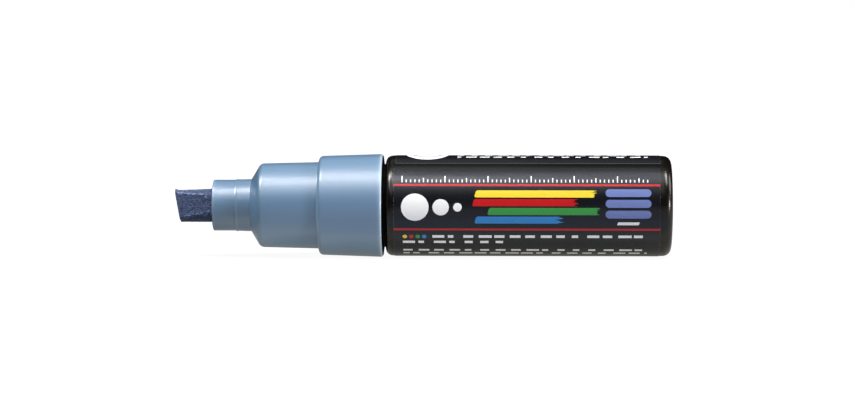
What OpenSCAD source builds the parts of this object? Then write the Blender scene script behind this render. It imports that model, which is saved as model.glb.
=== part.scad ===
// Valve-action paint marker, uncapped, lying on its side.
// Every piece is drawn round the Z axis in marker space, where z runs from the
// nib's tip to the rear end, and along_x() then lays it down along +X.

/* [Barrel] */
// Outer diameter of the paint tank
barrel_d = 23.6; // [20:0.1:30]
// Length of the tank from its front shoulder to its rear end
barrel_len = 67; // [55:0.1:85]
// Wall of the tank
barrel_wall = 1.3; // [1:0.1:1.8]
// Wall at the rear end of the tank
rear_wall = 1.6; // [1.2:0.1:2.5]
// Rounding of the rear edge
rear_round = 2.1; // [0.5:0.1:3]
// Rounding of the front shoulder
shoulder_round = 1.8; // [0.5:0.1:2.1]
// Radial step from the tank down to its neck
shoulder_step = 2; // [1.8:0.1:2.8]
// Wall of the neck
neck_wall = 1.3; // [1:0.1:1.6]
// Width of the bevelled stop flange on the neck
flange_w = 0.5; // [0.3:0.1:0.7]
// Height of the flange's rim below the collar's rim
flange_inset = 0.35; // [0.2:0.05:1]
// Diameter of the shallow recess in the rear end
foot_recess_d = 12; // [6:0.5:14]
// Depth of that recess
foot_recess_depth = 0.4; // [0.2:0.1:0.8]

/* [Label] */
// Thickness of the wrapped film
label_t = 0.075; // [0.05:0.005:0.1]
// Distance from the round of the front shoulder to the film
label_front_margin = 0.25; // [0:0.05:6]
// Distance from the film to the round of the rear edge
label_rear_margin = 0.95; // [0:0.05:6]
// Width of the bare strip between the film's two edges
label_gap = 1.5; // [0.5:0.1:6]
// Direction of the bare strip, in degrees above the -Y side
label_gap_angle = 56; // [0:0.5:180]

/* [Front section] */
// Length of the collar
collar_len = 15.05; // [12:0.05:18]
// How far the collar's rear rim stands proud of the tank
collar_proud = 0.33; // [0.11:0.01:0.4]
// Draft of the collar, in degrees a side
collar_draft = 1.86; // [0:0.01:2.5]
// Rounding of the collar's front edge
collar_round = 1.1; // [0.2:0.1:1.2]
// Rounding of the collar's rear rim
rim_round = 0.4; // [0.1:0.05:0.4]
// Gap between the collar and the tank's shoulder
collar_gap = 0.75; // [0.7:0.05:1.2]
// Radial step from the collar down to the grip
grip_step = 1.45; // [1.35:0.05:1.8]
// Length of the grip
grip_len = 13.75; // [11:0.05:17]
// Draft of the grip, in degrees a side
grip_draft = 1.35; // [0:0.01:1.5]
// Rounding between the grip and the cone
grip_round = 1.4; // [0.2:0.1:1.6]
// Wall of the grip
grip_wall = 1.6; // [1.2:0.1:1.8]
// Length of the cone in front of the grip
cone_len = 2.2; // [1.8:0.1:3.2]
// Length of the nose
nose_len = 9; // [7.5:0.1:12]
// Wall of the nose
nose_wall = 1.5; // [1.1:0.01:1.8]
// Rounding of the nose's front edge
nose_round = 0.3; // [0.1:0.1:0.8]
// Distance from the nose's front face to its snap bead
bead_inset = 5.75; // [4:0.05:6.5]
// Height of the snap bead
bead_h = 0.14; // [0.05:0.01:0.25]
// Extra radius of the nose at the cone
nose_flare = 0.16; // [0.02:0.01:0.25]
// Wall of the tube that guides the nib inside the grip
guide_wall = 1.2; // [0.8:0.1:1.4]
// How far that tube runs into the grip
guide_len = 8.6; // [6:0.1:9]
// Number of ribs that hold the nib
rib_count = 6; // [4:1:8]
// Height of a rib
rib_h = 0.6; // [0.4:0.05:0.8]
// Width of a rib
rib_w = 1.0; // [0.6:0.1:1.4]
// How far behind the collar's front edge the neck socket starts
socket_inset = 1.45; // [1:0.05:2.5]

/* [Nib] */
// Diameter of the nib
nib_d = 7.8; // [6.5:0.1:9.6]
// How far the nib stands out of the nose
nib_out = 9.15; // [7:0.05:11]
// Slant of the writing edge, in degrees
nib_slant = 10.5; // [0:0.5:20]
// Thickness of the chisel at its writing edge
nib_edge = 4.8; // [3:0.1:6]
// Half angle of the chisel
nib_wedge = 6.2; // [4:0.1:12]
// Turn of the chisel about the marker's axis, in degrees above the -Y side
nib_roll = 8; // [0:1:90]
// Chamfer on the nib's inner end
nib_chamfer = 0.5; // [0.2:0.1:1]

/* [Valve] */
// Travel of the valve when the nib is pressed
travel = 2; // [1:0.1:2.5]
// How far the stem still stands out of the valve body when pressed
stem_stub = 2.6; // [1.5:0.1:3]
// Diameter of the stem's rods
stem_d = 3; // [2.4:0.1:3.4]
// Diameter of the pad that the nib pushes
pad_d = 3.9; // [3.5:0.1:4.1]
// Thickness of the pad
pad_t = 0.8; // [0.5:0.1:1.2]
// Diameter of the hole that paint flows through
port_d = 4.4; // [4.2:0.1:5]
// Thickness of the valve body's flange
valve_flange_t = 1.2; // [0.8:0.1:1.5]
// Distance from the flange's front to the conical seat
seat_inset = 1.6; // [1.2:0.1:2]
// Thickness of the wall that carries the seat
seat_wall = 3.4; // [3:0.1:4.2]
// Length of the valve body's skirt in the neck
skirt_len = 7; // [5:0.1:9]
// Wall of the skirt
skirt_wall = 1.1; // [0.8:0.1:1.3]
// Outer diameter of the spring cage
cage_d = 9.8; // [9.2:0.1:10.4]
// Wall of the spring cage
cage_wall = 1.2; // [0.9:0.1:1.4]
// Width of the cage's windows
window_w = 2.6; // [1.5:0.1:3]
// Cross-section diameter of the stem's seal ring
ring_wire = 0.9; // [0.7:0.05:1]
// Thickness of the disc behind the seal ring
head_t = 1; // [0.7:0.1:1.4]
// Thickness of the gasket on the neck's mouth
gasket_t = 0.8; // [0.5:0.1:1]
// Wire diameter of the valve spring
spring_wire = 0.5; // [0.4:0.05:0.6]
// Mean diameter of the valve spring
spring_d = 5.2; // [4.6:0.1:5.4]
// Fitted length of the valve spring
spring_len = 12.5; // [10:0.1:15]
// Turns of the valve spring
spring_turns = 7; // [5:0.5:8]
// How much closer together the end turns lie
spring_ease = 0.4; // [0:0.05:0.5]
// Depth that the retainer plugs into the cage
retainer_plug = 1.2; // [0.8:0.1:2]
// Thickness of the retainer's rim
retainer_t = 1.4; // [1:0.1:2]
// Diameter of the retainer's flow holes
flow_hole_d = 1.1; // [0.8:0.1:1.2]

/* [Mixing ball] */
// Diameter of the mixing ball
ball_d = 7; // [5:0.1:8.5]
// Distance from the ball's centre to the rear end
ball_inset = 29; // [20:0.5:35]

/* [Fits] */
// Radial clearance of a sliding fit
slide_clear = 0.06; // [0.03:0.01:0.1]
// Radial clearance of a snap or plug fit
snap_clear = 0.03; // [0.02:0.01:0.06]
// Gap between the seal ring and its seat
seal_clear = 0.05; // [0.02:0.01:0.1]

/* [Hidden] */
$fn = 96;
ARC_STEPS = 6;
NECK_BEADS = 2;
NECK_BEAD_R = 0.5;
NECK_BEAD_H = 0.25;
CAGE_WINDOWS = 4;
FLOW_HOLES = 6;
SPRING_RINGS = 12;
SPRING_SIDES = 6;
EDGE_ROUND = 0.2;
FILLET = 0.8;
HEAD_CLEAR = 0.4;
CONE_WALL = 0.6;
FLANGE_LIP = 0.1;
CUT = 1;

// Radii that follow from the tank outwards and inwards
barrel_r = barrel_d / 2;
tank_r = barrel_r - barrel_wall;
neck_r = barrel_r - shoulder_step;
neck_bore_r = neck_r - neck_wall;
collar_rear_r = barrel_r + collar_proud;
collar_front_r = collar_rear_r - collar_len * tan(collar_draft);
grip_rear_r = collar_front_r - grip_step;
grip_front_r = grip_rear_r - grip_len * tan(grip_draft);
cavity_r = grip_front_r - grip_wall;
socket_r = neck_r + snap_clear;
flange_r = collar_rear_r - flange_inset;
shoulder_arc = min(shoulder_round, shoulder_step - EDGE_ROUND);

// Radii that follow from the nib outwards
nib_r = nib_d / 2;
rib_tip_r = nib_r + slide_clear;
nib_bore_r = nib_r + rib_h;
nose_r = nib_bore_r + nose_wall;
nose_rear_r = nose_r + nose_flare;
guide_r = nib_bore_r + guide_wall;

// Radii of the valve
stem_r = stem_d / 2;
port_r = port_d / 2;
cage_r = cage_d / 2;
cage_bore_r = cage_r - cage_wall;
skirt_r = neck_bore_r - snap_clear;
ring_r = port_r + ring_wire / 2 + slide_clear;
ring_seat_r = ring_r - ring_wire / 2;
head_r = cage_bore_r - HEAD_CLEAR;

// Stations along the marker, from the nib's tip to the rear end
z_nose = nib_out;
z_bead = z_nose + bead_inset;
z_cone = z_nose + nose_len;
z_grip = z_cone + cone_len;
z_collar = z_grip + grip_len;
z_rim = z_collar + collar_len;
z_shoulder = z_rim + collar_gap;
z_rear = z_shoulder + barrel_len;
z_label = z_shoulder + shoulder_arc + label_front_margin;
z_label_end = z_rear - rear_round - label_rear_margin;
z_cavity = z_grip + CONE_WALL;
z_guide_end = z_grip + guide_len;
z_ledge = z_collar + socket_inset;
z_gasket = z_ledge + valve_flange_t;
z_mouth = z_gasket + gasket_t;
z_tank = z_shoulder + barrel_wall;
z_tank_end = z_rear - rear_wall;
z_pad = z_ledge - stem_stub - travel;
z_seat = z_ledge + seat_inset;
z_seat_wall = z_ledge + seat_wall;
z_ring = z_seat + (ring_r - port_r) + sqrt(2) * (ring_wire / 2 + seal_clear);
z_head = z_ring + ring_wire / 2;
z_spring = z_head + head_t;
z_retainer = z_spring + spring_len;
z_cage_end = z_retainer + retainer_plug;
z_skirt_end = z_gasket + skirt_len;
z_ball = z_rear - ball_inset;
total_len = z_rear;
axis_h = collar_rear_r;

// Lays a piece down along +X, with the marker's lowest line on z = 0
module along_x() {
    translate([-total_len / 2, 0, axis_h]) rotate([0, 90, 0]) children();
}

function unit(v) = v / norm(v);

// Points of an arc of radius r that rounds the corner b between a and c
function corner(a, b, c, r) =
    r == 0 ? [b] :
    let (
        u = unit(a - b),
        v = unit(c - b),
        half = acos(u * v) / 2,
        middle = b + unit(u + v) * r / sin(half),
        from = b + u * r / tan(half) - middle,
        to = b + v * r / tan(half) - middle,
        start = atan2(from.y, from.x),
        sweep = (atan2(to.y, to.x) - start + 540) % 360 - 180
    )
    [for (i = [0 : ARC_STEPS]) let (t = start + sweep * i / ARC_STEPS) middle + r * [cos(t), sin(t)]];

// An outline from corners [radius, station, rounding]
function rounded(path) =
    let (n = len(path), flat = [for (p = path) [p.x, p.y]])
    [for (i = [0 : n - 1]) each corner(flat[(i + n - 1) % n], flat[i], flat[(i + 1) % n], path[i][2])];

// A body of revolution from such corners
module turned(path) {
    rotate_extrude() polygon(rounded(path));
}

// A plain hole or pin between two stations
module round_bar(r, from, to) {
    translate([0, 0, from]) cylinder(r = r, h = to - from);
}

// The neck's snap beads, or their grooves when clear is added
module neck_beads(clear = 0) {
    spacing = (z_rim - z_mouth) / (NECK_BEADS + 1);
    for (i = [1 : NECK_BEADS])
        translate([0, 0, z_mouth + i * spacing])
            rotate_extrude() translate([neck_r - NECK_BEAD_R + NECK_BEAD_H, 0]) circle(r = NECK_BEAD_R + clear);
}

// Nose, cone, grip and collar: one moulding
module front_section() {
    color([0.42, 0.55, 0.68]) along_x() difference() {
        union() {
            difference() {
                turned([
                    [0, z_nose, 0],
                    [nose_r, z_nose, nose_round],
                    [nose_r, z_bead, 0],
                    [nose_r + nose_flare / 2, z_bead, 0],
                    [nose_rear_r, z_cone, EDGE_ROUND],
                    [grip_front_r, z_grip, grip_round],
                    [grip_rear_r, z_collar, EDGE_ROUND],
                    [collar_front_r, z_collar, collar_round],
                    [collar_rear_r, z_rim, rim_round],
                    [0, z_rim, 0]
                ]);
                front_section_hollow();
            }
            nose_bead();
            nib_ribs();
        }
        round_bar(rib_tip_r, z_nose - CUT, z_guide_end + CUT);
    }
}

// Everything that is open inside the front section
module front_section_hollow() {
    round_bar(nib_bore_r, z_nose - CUT, z_guide_end + CUT);
    round_bar(socket_r, z_ledge, z_rim + CUT);
    round_bar(cavity_r, z_guide_end, z_ledge + CUT);
    difference() {
        round_bar(cavity_r, z_cavity, z_guide_end + CUT);
        round_bar(guide_r, z_cavity - CUT, z_guide_end + 2 * CUT);
    }
    neck_beads(snap_clear);
}

// Bead that a cap's seal snaps behind
module nose_bead() {
    bead_r = 2 * bead_h;
    rotate_extrude() translate([nose_r + bead_h - bead_r, z_bead]) circle(r = bead_r);
}

// Ribs along the nib's bore
module nib_ribs() {
    rib_start = z_nose + nose_round;
    for (i = [0 : rib_count - 1])
        rotate(i * 360 / rib_count)
            translate([nib_r, -rib_w / 2, rib_start])
                cube([rib_h + guide_wall / 2, rib_w, z_guide_end - rib_start]);
}

// Paint tank with its neck
module barrel() {
    color([0.07, 0.07, 0.07]) along_x() {
        turned([
            [neck_bore_r, z_mouth, 0],
            [neck_r, z_mouth, EDGE_ROUND],
            [neck_r, z_rim, 0],
            [flange_r, z_rim, 0],
            [flange_r, z_rim + FLANGE_LIP, 0],
            [neck_r, z_rim + flange_w, 0],
            [neck_r, z_shoulder, 0],
            [barrel_r, z_shoulder, shoulder_arc],
            [barrel_r, z_rear, rear_round],
            [foot_recess_d / 2, z_rear, 0],
            [foot_recess_d / 2, z_rear - foot_recess_depth, 0],
            [0, z_rear - foot_recess_depth, 0],
            [0, z_tank_end, 0],
            [tank_r, z_tank_end, FILLET],
            [tank_r, z_tank, FILLET],
            [neck_bore_r, z_tank, 0]
        ]);
        neck_beads();
    }
}

// Printed film round the tank, with a bare strip between its edges
module label() {
    gap = 360 * label_gap / (2 * PI * barrel_r);
    color([0.1, 0.1, 0.11]) along_x()
        rotate(270 - label_gap_angle + gap / 2)
            translate([0, 0, z_label])
                rotate_extrude(angle = 360 - gap)
                    translate([barrel_r, 0]) square([label_t, z_label_end - z_label]);
}

// Felt rod, cut to a slanted chisel in front
module nib() {
    facet_len = (nib_r - nib_edge / 2) / sin(nib_wedge) + CUT;
    color([0.24, 0.29, 0.42]) along_x() rotate(-nib_roll) difference() {
        turned([
            [0, -CUT, 0],
            [nib_r, -CUT, 0],
            [nib_r, z_pad - nib_chamfer, 0],
            [nib_r - nib_chamfer, z_pad, 0],
            [0, z_pad, 0]
        ]);
        translate([-nib_r, 0, 0]) rotate([0, -nib_slant, 0])
            translate([-nib_d, -nib_d, -2 * nib_d]) cube([3 * nib_d, 2 * nib_d, 2 * nib_d]);
        for (side = [0, 180])
            rotate(side) translate([-nib_d, nib_edge / 2, 0]) rotate([-nib_wedge, 0, 0])
                translate([0, 0, -nib_d]) cube([2 * nib_d, nib_d, nib_d + facet_len]);
    }
}

// Plug with flange, conical seat, skirt and windowed spring cage
module valve_body() {
    color([0.93, 0.93, 0.9]) along_x() difference() {
        turned([
            [port_r, z_ledge, 0],
            [neck_r, z_ledge, 0],
            [neck_r, z_gasket, 0],
            [skirt_r, z_gasket, 0],
            [skirt_r, z_skirt_end, 0],
            [skirt_r - skirt_wall, z_skirt_end, 0],
            [skirt_r - skirt_wall, z_seat_wall, 0],
            [cage_r, z_seat_wall, 0],
            [cage_r, z_cage_end, 0],
            [cage_bore_r, z_cage_end, 0],
            [cage_bore_r, z_seat + cage_bore_r - port_r, 0],
            [port_r, z_seat, 0]
        ]);
        for (i = [0 : CAGE_WINDOWS / 2 - 1])
            rotate(i * 360 / CAGE_WINDOWS)
                translate([-cage_d, -window_w / 2, z_skirt_end])
                    cube([2 * cage_d, window_w, z_retainer - CUT - z_skirt_end]);
    }
}

// Soft ring between the valve body's flange and the neck's mouth
module neck_gasket() {
    color([0.2, 0.2, 0.2]) along_x() difference() {
        round_bar(neck_r, z_gasket, z_mouth);
        round_bar(neck_bore_r, z_gasket - CUT, z_mouth + CUT);
    }
}

// Stem that the nib pushes off its seat
module valve_stem() {
    color([0.85, 0.87, 0.88]) along_x() turned([
        [0, z_pad, 0],
        [pad_d / 2, z_pad, EDGE_ROUND],
        [pad_d / 2, z_pad + pad_t, 0],
        [stem_r, z_pad + pad_t, 0],
        [stem_r, z_ring - ring_wire / 2, 0],
        [ring_seat_r, z_ring - ring_wire / 2, EDGE_ROUND],
        [ring_seat_r, z_head, 0],
        [head_r, z_head, EDGE_ROUND],
        [head_r, z_spring, EDGE_ROUND],
        [stem_r, z_spring, 0],
        [stem_r, z_retainer + retainer_plug / 2, EDGE_ROUND],
        [0, z_retainer + retainer_plug / 2, 0]
    ]);
}

// Seal ring on the stem
module stem_seal() {
    color([0.15, 0.15, 0.15]) along_x()
        translate([0, 0, z_ring]) rotate_extrude() translate([ring_r, 0]) circle(d = ring_wire);
}

// Place of the spring's wire at share t of its length
function spring_at(t) =
    let (
        eased = t - spring_ease * sin(360 * t) / (2 * PI),
        turn = 360 * spring_turns * t
    )
    [
        spring_d / 2 * cos(turn), spring_d / 2 * sin(turn),
        z_spring + spring_wire / 2 + (spring_len - spring_wire) * eased
    ];

spring_steps = floor(spring_turns * SPRING_RINGS);
spring_line = [for (i = [0 : spring_steps]) spring_at(i / spring_steps)];
spring_gap = min([for (i = [0 : spring_steps - SPRING_RINGS])
    norm(spring_line[i + SPRING_RINGS] - spring_line[i])]) - spring_wire;
echo(str("least gap between turns of the valve spring: ", spring_gap, " mm"));

// One ring of points round the wire, square to it
function wire_ring(i) =
    let (
        p = spring_line[i],
        along = unit(spring_line[min(i + 1, spring_steps)] - spring_line[max(i - 1, 0)]),
        out = unit([p.x, p.y, 0]),
        side = unit(cross(along, out)),
        up = cross(side, along)
    )
    [for (k = [0 : SPRING_SIDES - 1])
        let (a = 360 * k / SPRING_SIDES) p + spring_wire / 2 * (cos(a) * up + sin(a) * side)];

// Compression spring behind the stem's head
module valve_spring() {
    n = SPRING_SIDES;
    points = [for (i = [0 : spring_steps]) each wire_ring(i)];
    wall = [for (i = [0 : spring_steps - 1], k = [0 : n - 1])
        let (a = i * n + k, b = i * n + (k + 1) % n) each [[a, b, b + n], [a, b + n, a + n]]];
    first_end = [for (k = [1 : n - 2]) [0, k + 1, k]];
    last = spring_steps * n;
    last_end = [for (k = [1 : n - 2]) [last, last + k, last + k + 1]];
    color([0.75, 0.75, 0.77]) along_x() polyhedron(points, concat(wall, first_end, last_end));
}

// Cap that closes the cage and guides the stem
module spring_retainer() {
    hole_ring_r = (stem_r + cage_bore_r) / 2;
    color([0.93, 0.93, 0.9]) along_x() difference() {
        turned([
            [stem_r + slide_clear, z_retainer, 0],
            [cage_bore_r - snap_clear, z_retainer, EDGE_ROUND],
            [cage_bore_r - snap_clear, z_cage_end, 0],
            [cage_r, z_cage_end, 0],
            [cage_r, z_cage_end + retainer_t, EDGE_ROUND],
            [stem_r + slide_clear, z_cage_end + retainer_t, 0]
        ]);
        for (i = [0 : FLOW_HOLES - 1])
            rotate(i * 360 / FLOW_HOLES) translate([hole_ring_r, 0, 0])
                round_bar(flow_hole_d / 2, z_retainer - CUT, z_cage_end + retainer_t + CUT);
    }
}

// Loose steel ball that stirs the paint, on the tank's floor
module mixing_ball() {
    color([0.7, 0.7, 0.72]) along_x()
        translate([tank_r - slide_clear - ball_d / 2, 0, z_ball]) sphere(d = ball_d);
}

front_section();
barrel();
label();
nib();
valve_body();
neck_gasket();
valve_stem();
stem_seal();
valve_spring();
spring_retainer();
mixing_ball();
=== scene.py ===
"""Looks of a valve-action paint marker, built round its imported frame.

The marker lies along +X with its nib at -X. Sizes of the pieces are millimetres, given as
stations from the nib's tip, radii from the marker's axis and angles above the -Y side.
Axis.at() turns them into points of the scene, which is in metres.
"""
import logging
import math
from dataclasses import dataclass
from enum import Enum

import bmesh
import bpy
from mathutils import Matrix, Vector, noise


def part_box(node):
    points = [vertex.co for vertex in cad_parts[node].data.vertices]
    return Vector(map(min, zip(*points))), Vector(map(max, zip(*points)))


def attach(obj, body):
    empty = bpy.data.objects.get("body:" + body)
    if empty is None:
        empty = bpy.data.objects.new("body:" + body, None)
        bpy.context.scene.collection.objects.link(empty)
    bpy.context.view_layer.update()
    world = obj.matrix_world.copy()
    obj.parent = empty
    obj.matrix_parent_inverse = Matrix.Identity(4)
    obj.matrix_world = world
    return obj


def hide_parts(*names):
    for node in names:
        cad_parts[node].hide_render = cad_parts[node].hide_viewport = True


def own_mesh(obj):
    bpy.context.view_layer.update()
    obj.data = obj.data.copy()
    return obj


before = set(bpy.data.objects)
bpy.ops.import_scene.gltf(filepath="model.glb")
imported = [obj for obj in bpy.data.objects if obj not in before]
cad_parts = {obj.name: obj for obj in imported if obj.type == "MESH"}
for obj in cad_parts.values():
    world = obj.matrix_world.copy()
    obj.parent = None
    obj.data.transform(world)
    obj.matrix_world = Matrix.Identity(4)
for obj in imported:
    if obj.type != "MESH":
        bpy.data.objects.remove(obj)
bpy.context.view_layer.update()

LOG = logging.getLogger("paint_marker")
MM = 0.001
Colour = tuple[float, float, float, float]


def srgb(red: int, green: int, blue: int) -> Colour:
    """Turn a display colour into the linear one that shaders use.

    Args:
        red: Red from 0 to 255.
        green: Green from 0 to 255.
        blue: Blue from 0 to 255.

    Returns:
        The linear colour, with an alpha of 1.
    """
    def linear(value: int) -> float:
        """Undo the display curve of one channel."""
        share = value / 255
        return share / 12.92 if share <= 0.04045 else ((share + 0.055) / 1.055) ** 2.4

    return linear(red), linear(green), linear(blue), 1.0


def darker(colour: Colour, share: float) -> Colour:
    """Return a colour at a share of its brightness."""
    red, green, blue, alpha = colour
    return share * red, share * green, share * blue, alpha


class Body(Enum):
    """The rigid bodies that the modelled pieces ride on."""

    MARKER = "marker_body"
    NIB = "nib"


class Slot(Enum):
    """The record's material slots of the modelled pieces."""

    FRONT = "front_plastic"
    BARREL = "barrel_plastic"
    LABEL = "label_film"
    NIB = "nib_felt"
    SPRING = "spring_steel"


@dataclass(frozen=True)
class Axis:
    """The marker's own axis in the scene.

    Attributes:
        tip_x: Where the nib's tip is along X, in metres.
        height: How high the axis lies, in metres.
    """

    tip_x: float
    height: float

    @classmethod
    def of_frame(cls) -> "Axis":
        """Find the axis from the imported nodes."""
        low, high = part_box("front_section")
        return cls(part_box("nib")[0].x, (low.z + high.z) / 2)

    def at(self, station: float, radius: float = 0.0, above: float = 0.0) -> Vector:
        """Place a point.

        Args:
            station: Distance from the nib's tip, in millimetres.
            radius: Distance from the axis, in millimetres.
            above: Angle above the -Y side, in degrees.

        Returns:
            The point in the scene, in metres.
        """
        turn = math.radians(above)
        y = -radius * MM * math.cos(turn)
        z = self.height + radius * MM * math.sin(turn)
        return Vector((self.tip_x + station * MM, y, z))

    def station(self, x: float) -> float:
        """Return the station of a place along X, in millimetres."""
        return (x - self.tip_x) / MM

    def radius(self, point: Vector) -> float:
        """Return a point's distance from the axis, in millimetres."""
        return math.hypot(point.y, point.z - self.height) / MM

    def above(self, point: Vector) -> float:
        """Return a point's angle above the -Y side, in degrees."""
        return math.degrees(math.atan2(point.z - self.height, -point.y))

    @property
    def centre(self) -> Vector:
        """A point on the axis to turn things about."""
        return Vector((0.0, 0.0, self.height))


@dataclass(frozen=True)
class Corner:
    """A corner of a turned outline.

    Attributes:
        station: Distance from the nib's tip, in millimetres.
        radius: Distance from the axis, in millimetres.
        fillet: Radius that rounds the corner, in millimetres.
        fullness: Shape of the rounding, 0.5 for a circle and more for a squarer one.
    """

    station: float
    radius: float
    fillet: float = 0.0
    fullness: float = 0.5


class Mesh:
    """A bmesh in the making, which ends as a piece of the marker."""

    SHARP_DEG = 32.0
    MERGE_M = 1e-7
    NEAR_MM = 1e-3
    ARC_STEPS = 6

    def __init__(self, axis: Axis) -> None:
        """Start with nothing round the given axis."""
        self.axis = axis
        self.bm = bmesh.new()

    def turn(self, corners: list[Corner], steps: int, closed: bool) -> None:
        """Spin an outline once round the axis and round its corners.

        Args:
            corners: The outline, from one end to the other.
            steps: Faces round the axis.
            closed: Whether the outline's ends are joined.
        """
        verts = [self.bm.verts.new(self.axis.at(c.station, c.radius)) for c in corners]
        pairs = list(zip(verts, verts[1:]))
        if closed:
            pairs.append((verts[-1], verts[0]))
        edges = [self.bm.edges.new(pair) for pair in pairs]
        bmesh.ops.spin(
            self.bm, geom=verts + edges, cent=self.axis.centre, axis=(1, 0, 0), dvec=(0, 0, 0),
            angle=math.tau, steps=steps, use_merge=True, use_normal_flip=False, use_duplicate=False,
        )
        bmesh.ops.remove_doubles(self.bm, verts=self.bm.verts, dist=self.MERGE_M)
        bmesh.ops.recalc_face_normals(self.bm, faces=self.bm.faces)
        count = len(corners)
        for i, corner in enumerate(corners):
            if corner.fillet:
                self.round_corner(corners[i - 1], corner, corners[(i + 1) % count])

    def round_corner(self, before: Corner, corner: Corner, after: Corner) -> None:
        """Bevel the ring of edges at one corner of a turned outline.

        Args:
            before: The corner before it.
            corner: The corner to round.
            after: The corner after it.
        """
        here = Vector((corner.station, corner.radius))
        way_in = here - Vector((before.station, before.radius))
        way_out = Vector((after.station, after.radius)) - here
        tangent = corner.fillet * math.tan(way_in.angle(way_out) / 2)
        bmesh.ops.bevel(
            self.bm, geom=self.ring(corner), offset=tangent * MM, offset_type="OFFSET",
            segments=self.ARC_STEPS, profile=corner.fullness, affect="EDGES", clamp_overlap=False,
            material=-1,
        )

    def ring(self, corner: Corner) -> list[bmesh.types.BMEdge]:
        """Find the edges that run round the axis at a corner.

        Args:
            corner: The corner of the outline.

        Returns:
            The edges of its ring.
        """
        def on_ring(vert: bmesh.types.BMVert) -> bool:
            """Say whether a vertex is at the corner's station and radius."""
            off_station = abs(self.axis.station(vert.co.x) - corner.station)
            off_radius = abs(self.axis.radius(vert.co) - corner.radius)
            return max(off_station, off_radius) < self.NEAR_MM

        return [e for e in self.bm.edges if on_ring(e.verts[0]) and on_ring(e.verts[1])]

    def finish(self, name: str) -> bpy.types.Object:
        """Turn the bmesh into an object with smooth faces and sharp creases.

        Args:
            name: The piece's name.

        Returns:
            The new object, at the origin.
        """
        mesh = bpy.data.meshes.new(name)
        self.bm.to_mesh(mesh)
        self.bm.free()
        mesh.shade_smooth()
        mesh.set_sharp_from_angle(angle=math.radians(self.SHARP_DEG))
        piece = bpy.data.objects.new(name, mesh)
        bpy.context.scene.collection.objects.link(piece)
        even = piece.modifiers.new("even_shade", "WEIGHTED_NORMAL")
        even.mode = "FACE_AREA"
        even.keep_sharp = True
        return piece


def place(piece: bpy.types.Object, body: Body, slot: Slot, *nodes: str) -> None:
    """Hang a piece on its body and hide the nodes that it stands for.

    Args:
        piece: The piece.
        body: The body that it rides on.
        slot: The record's material slot; not used.
        nodes: The nodes that it replaces.
    """
    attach(piece, body.value)
    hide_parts(*nodes)
    LOG.info("%s: %d faces on %s", piece.name, len(piece.data.polygons), body.value)


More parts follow.
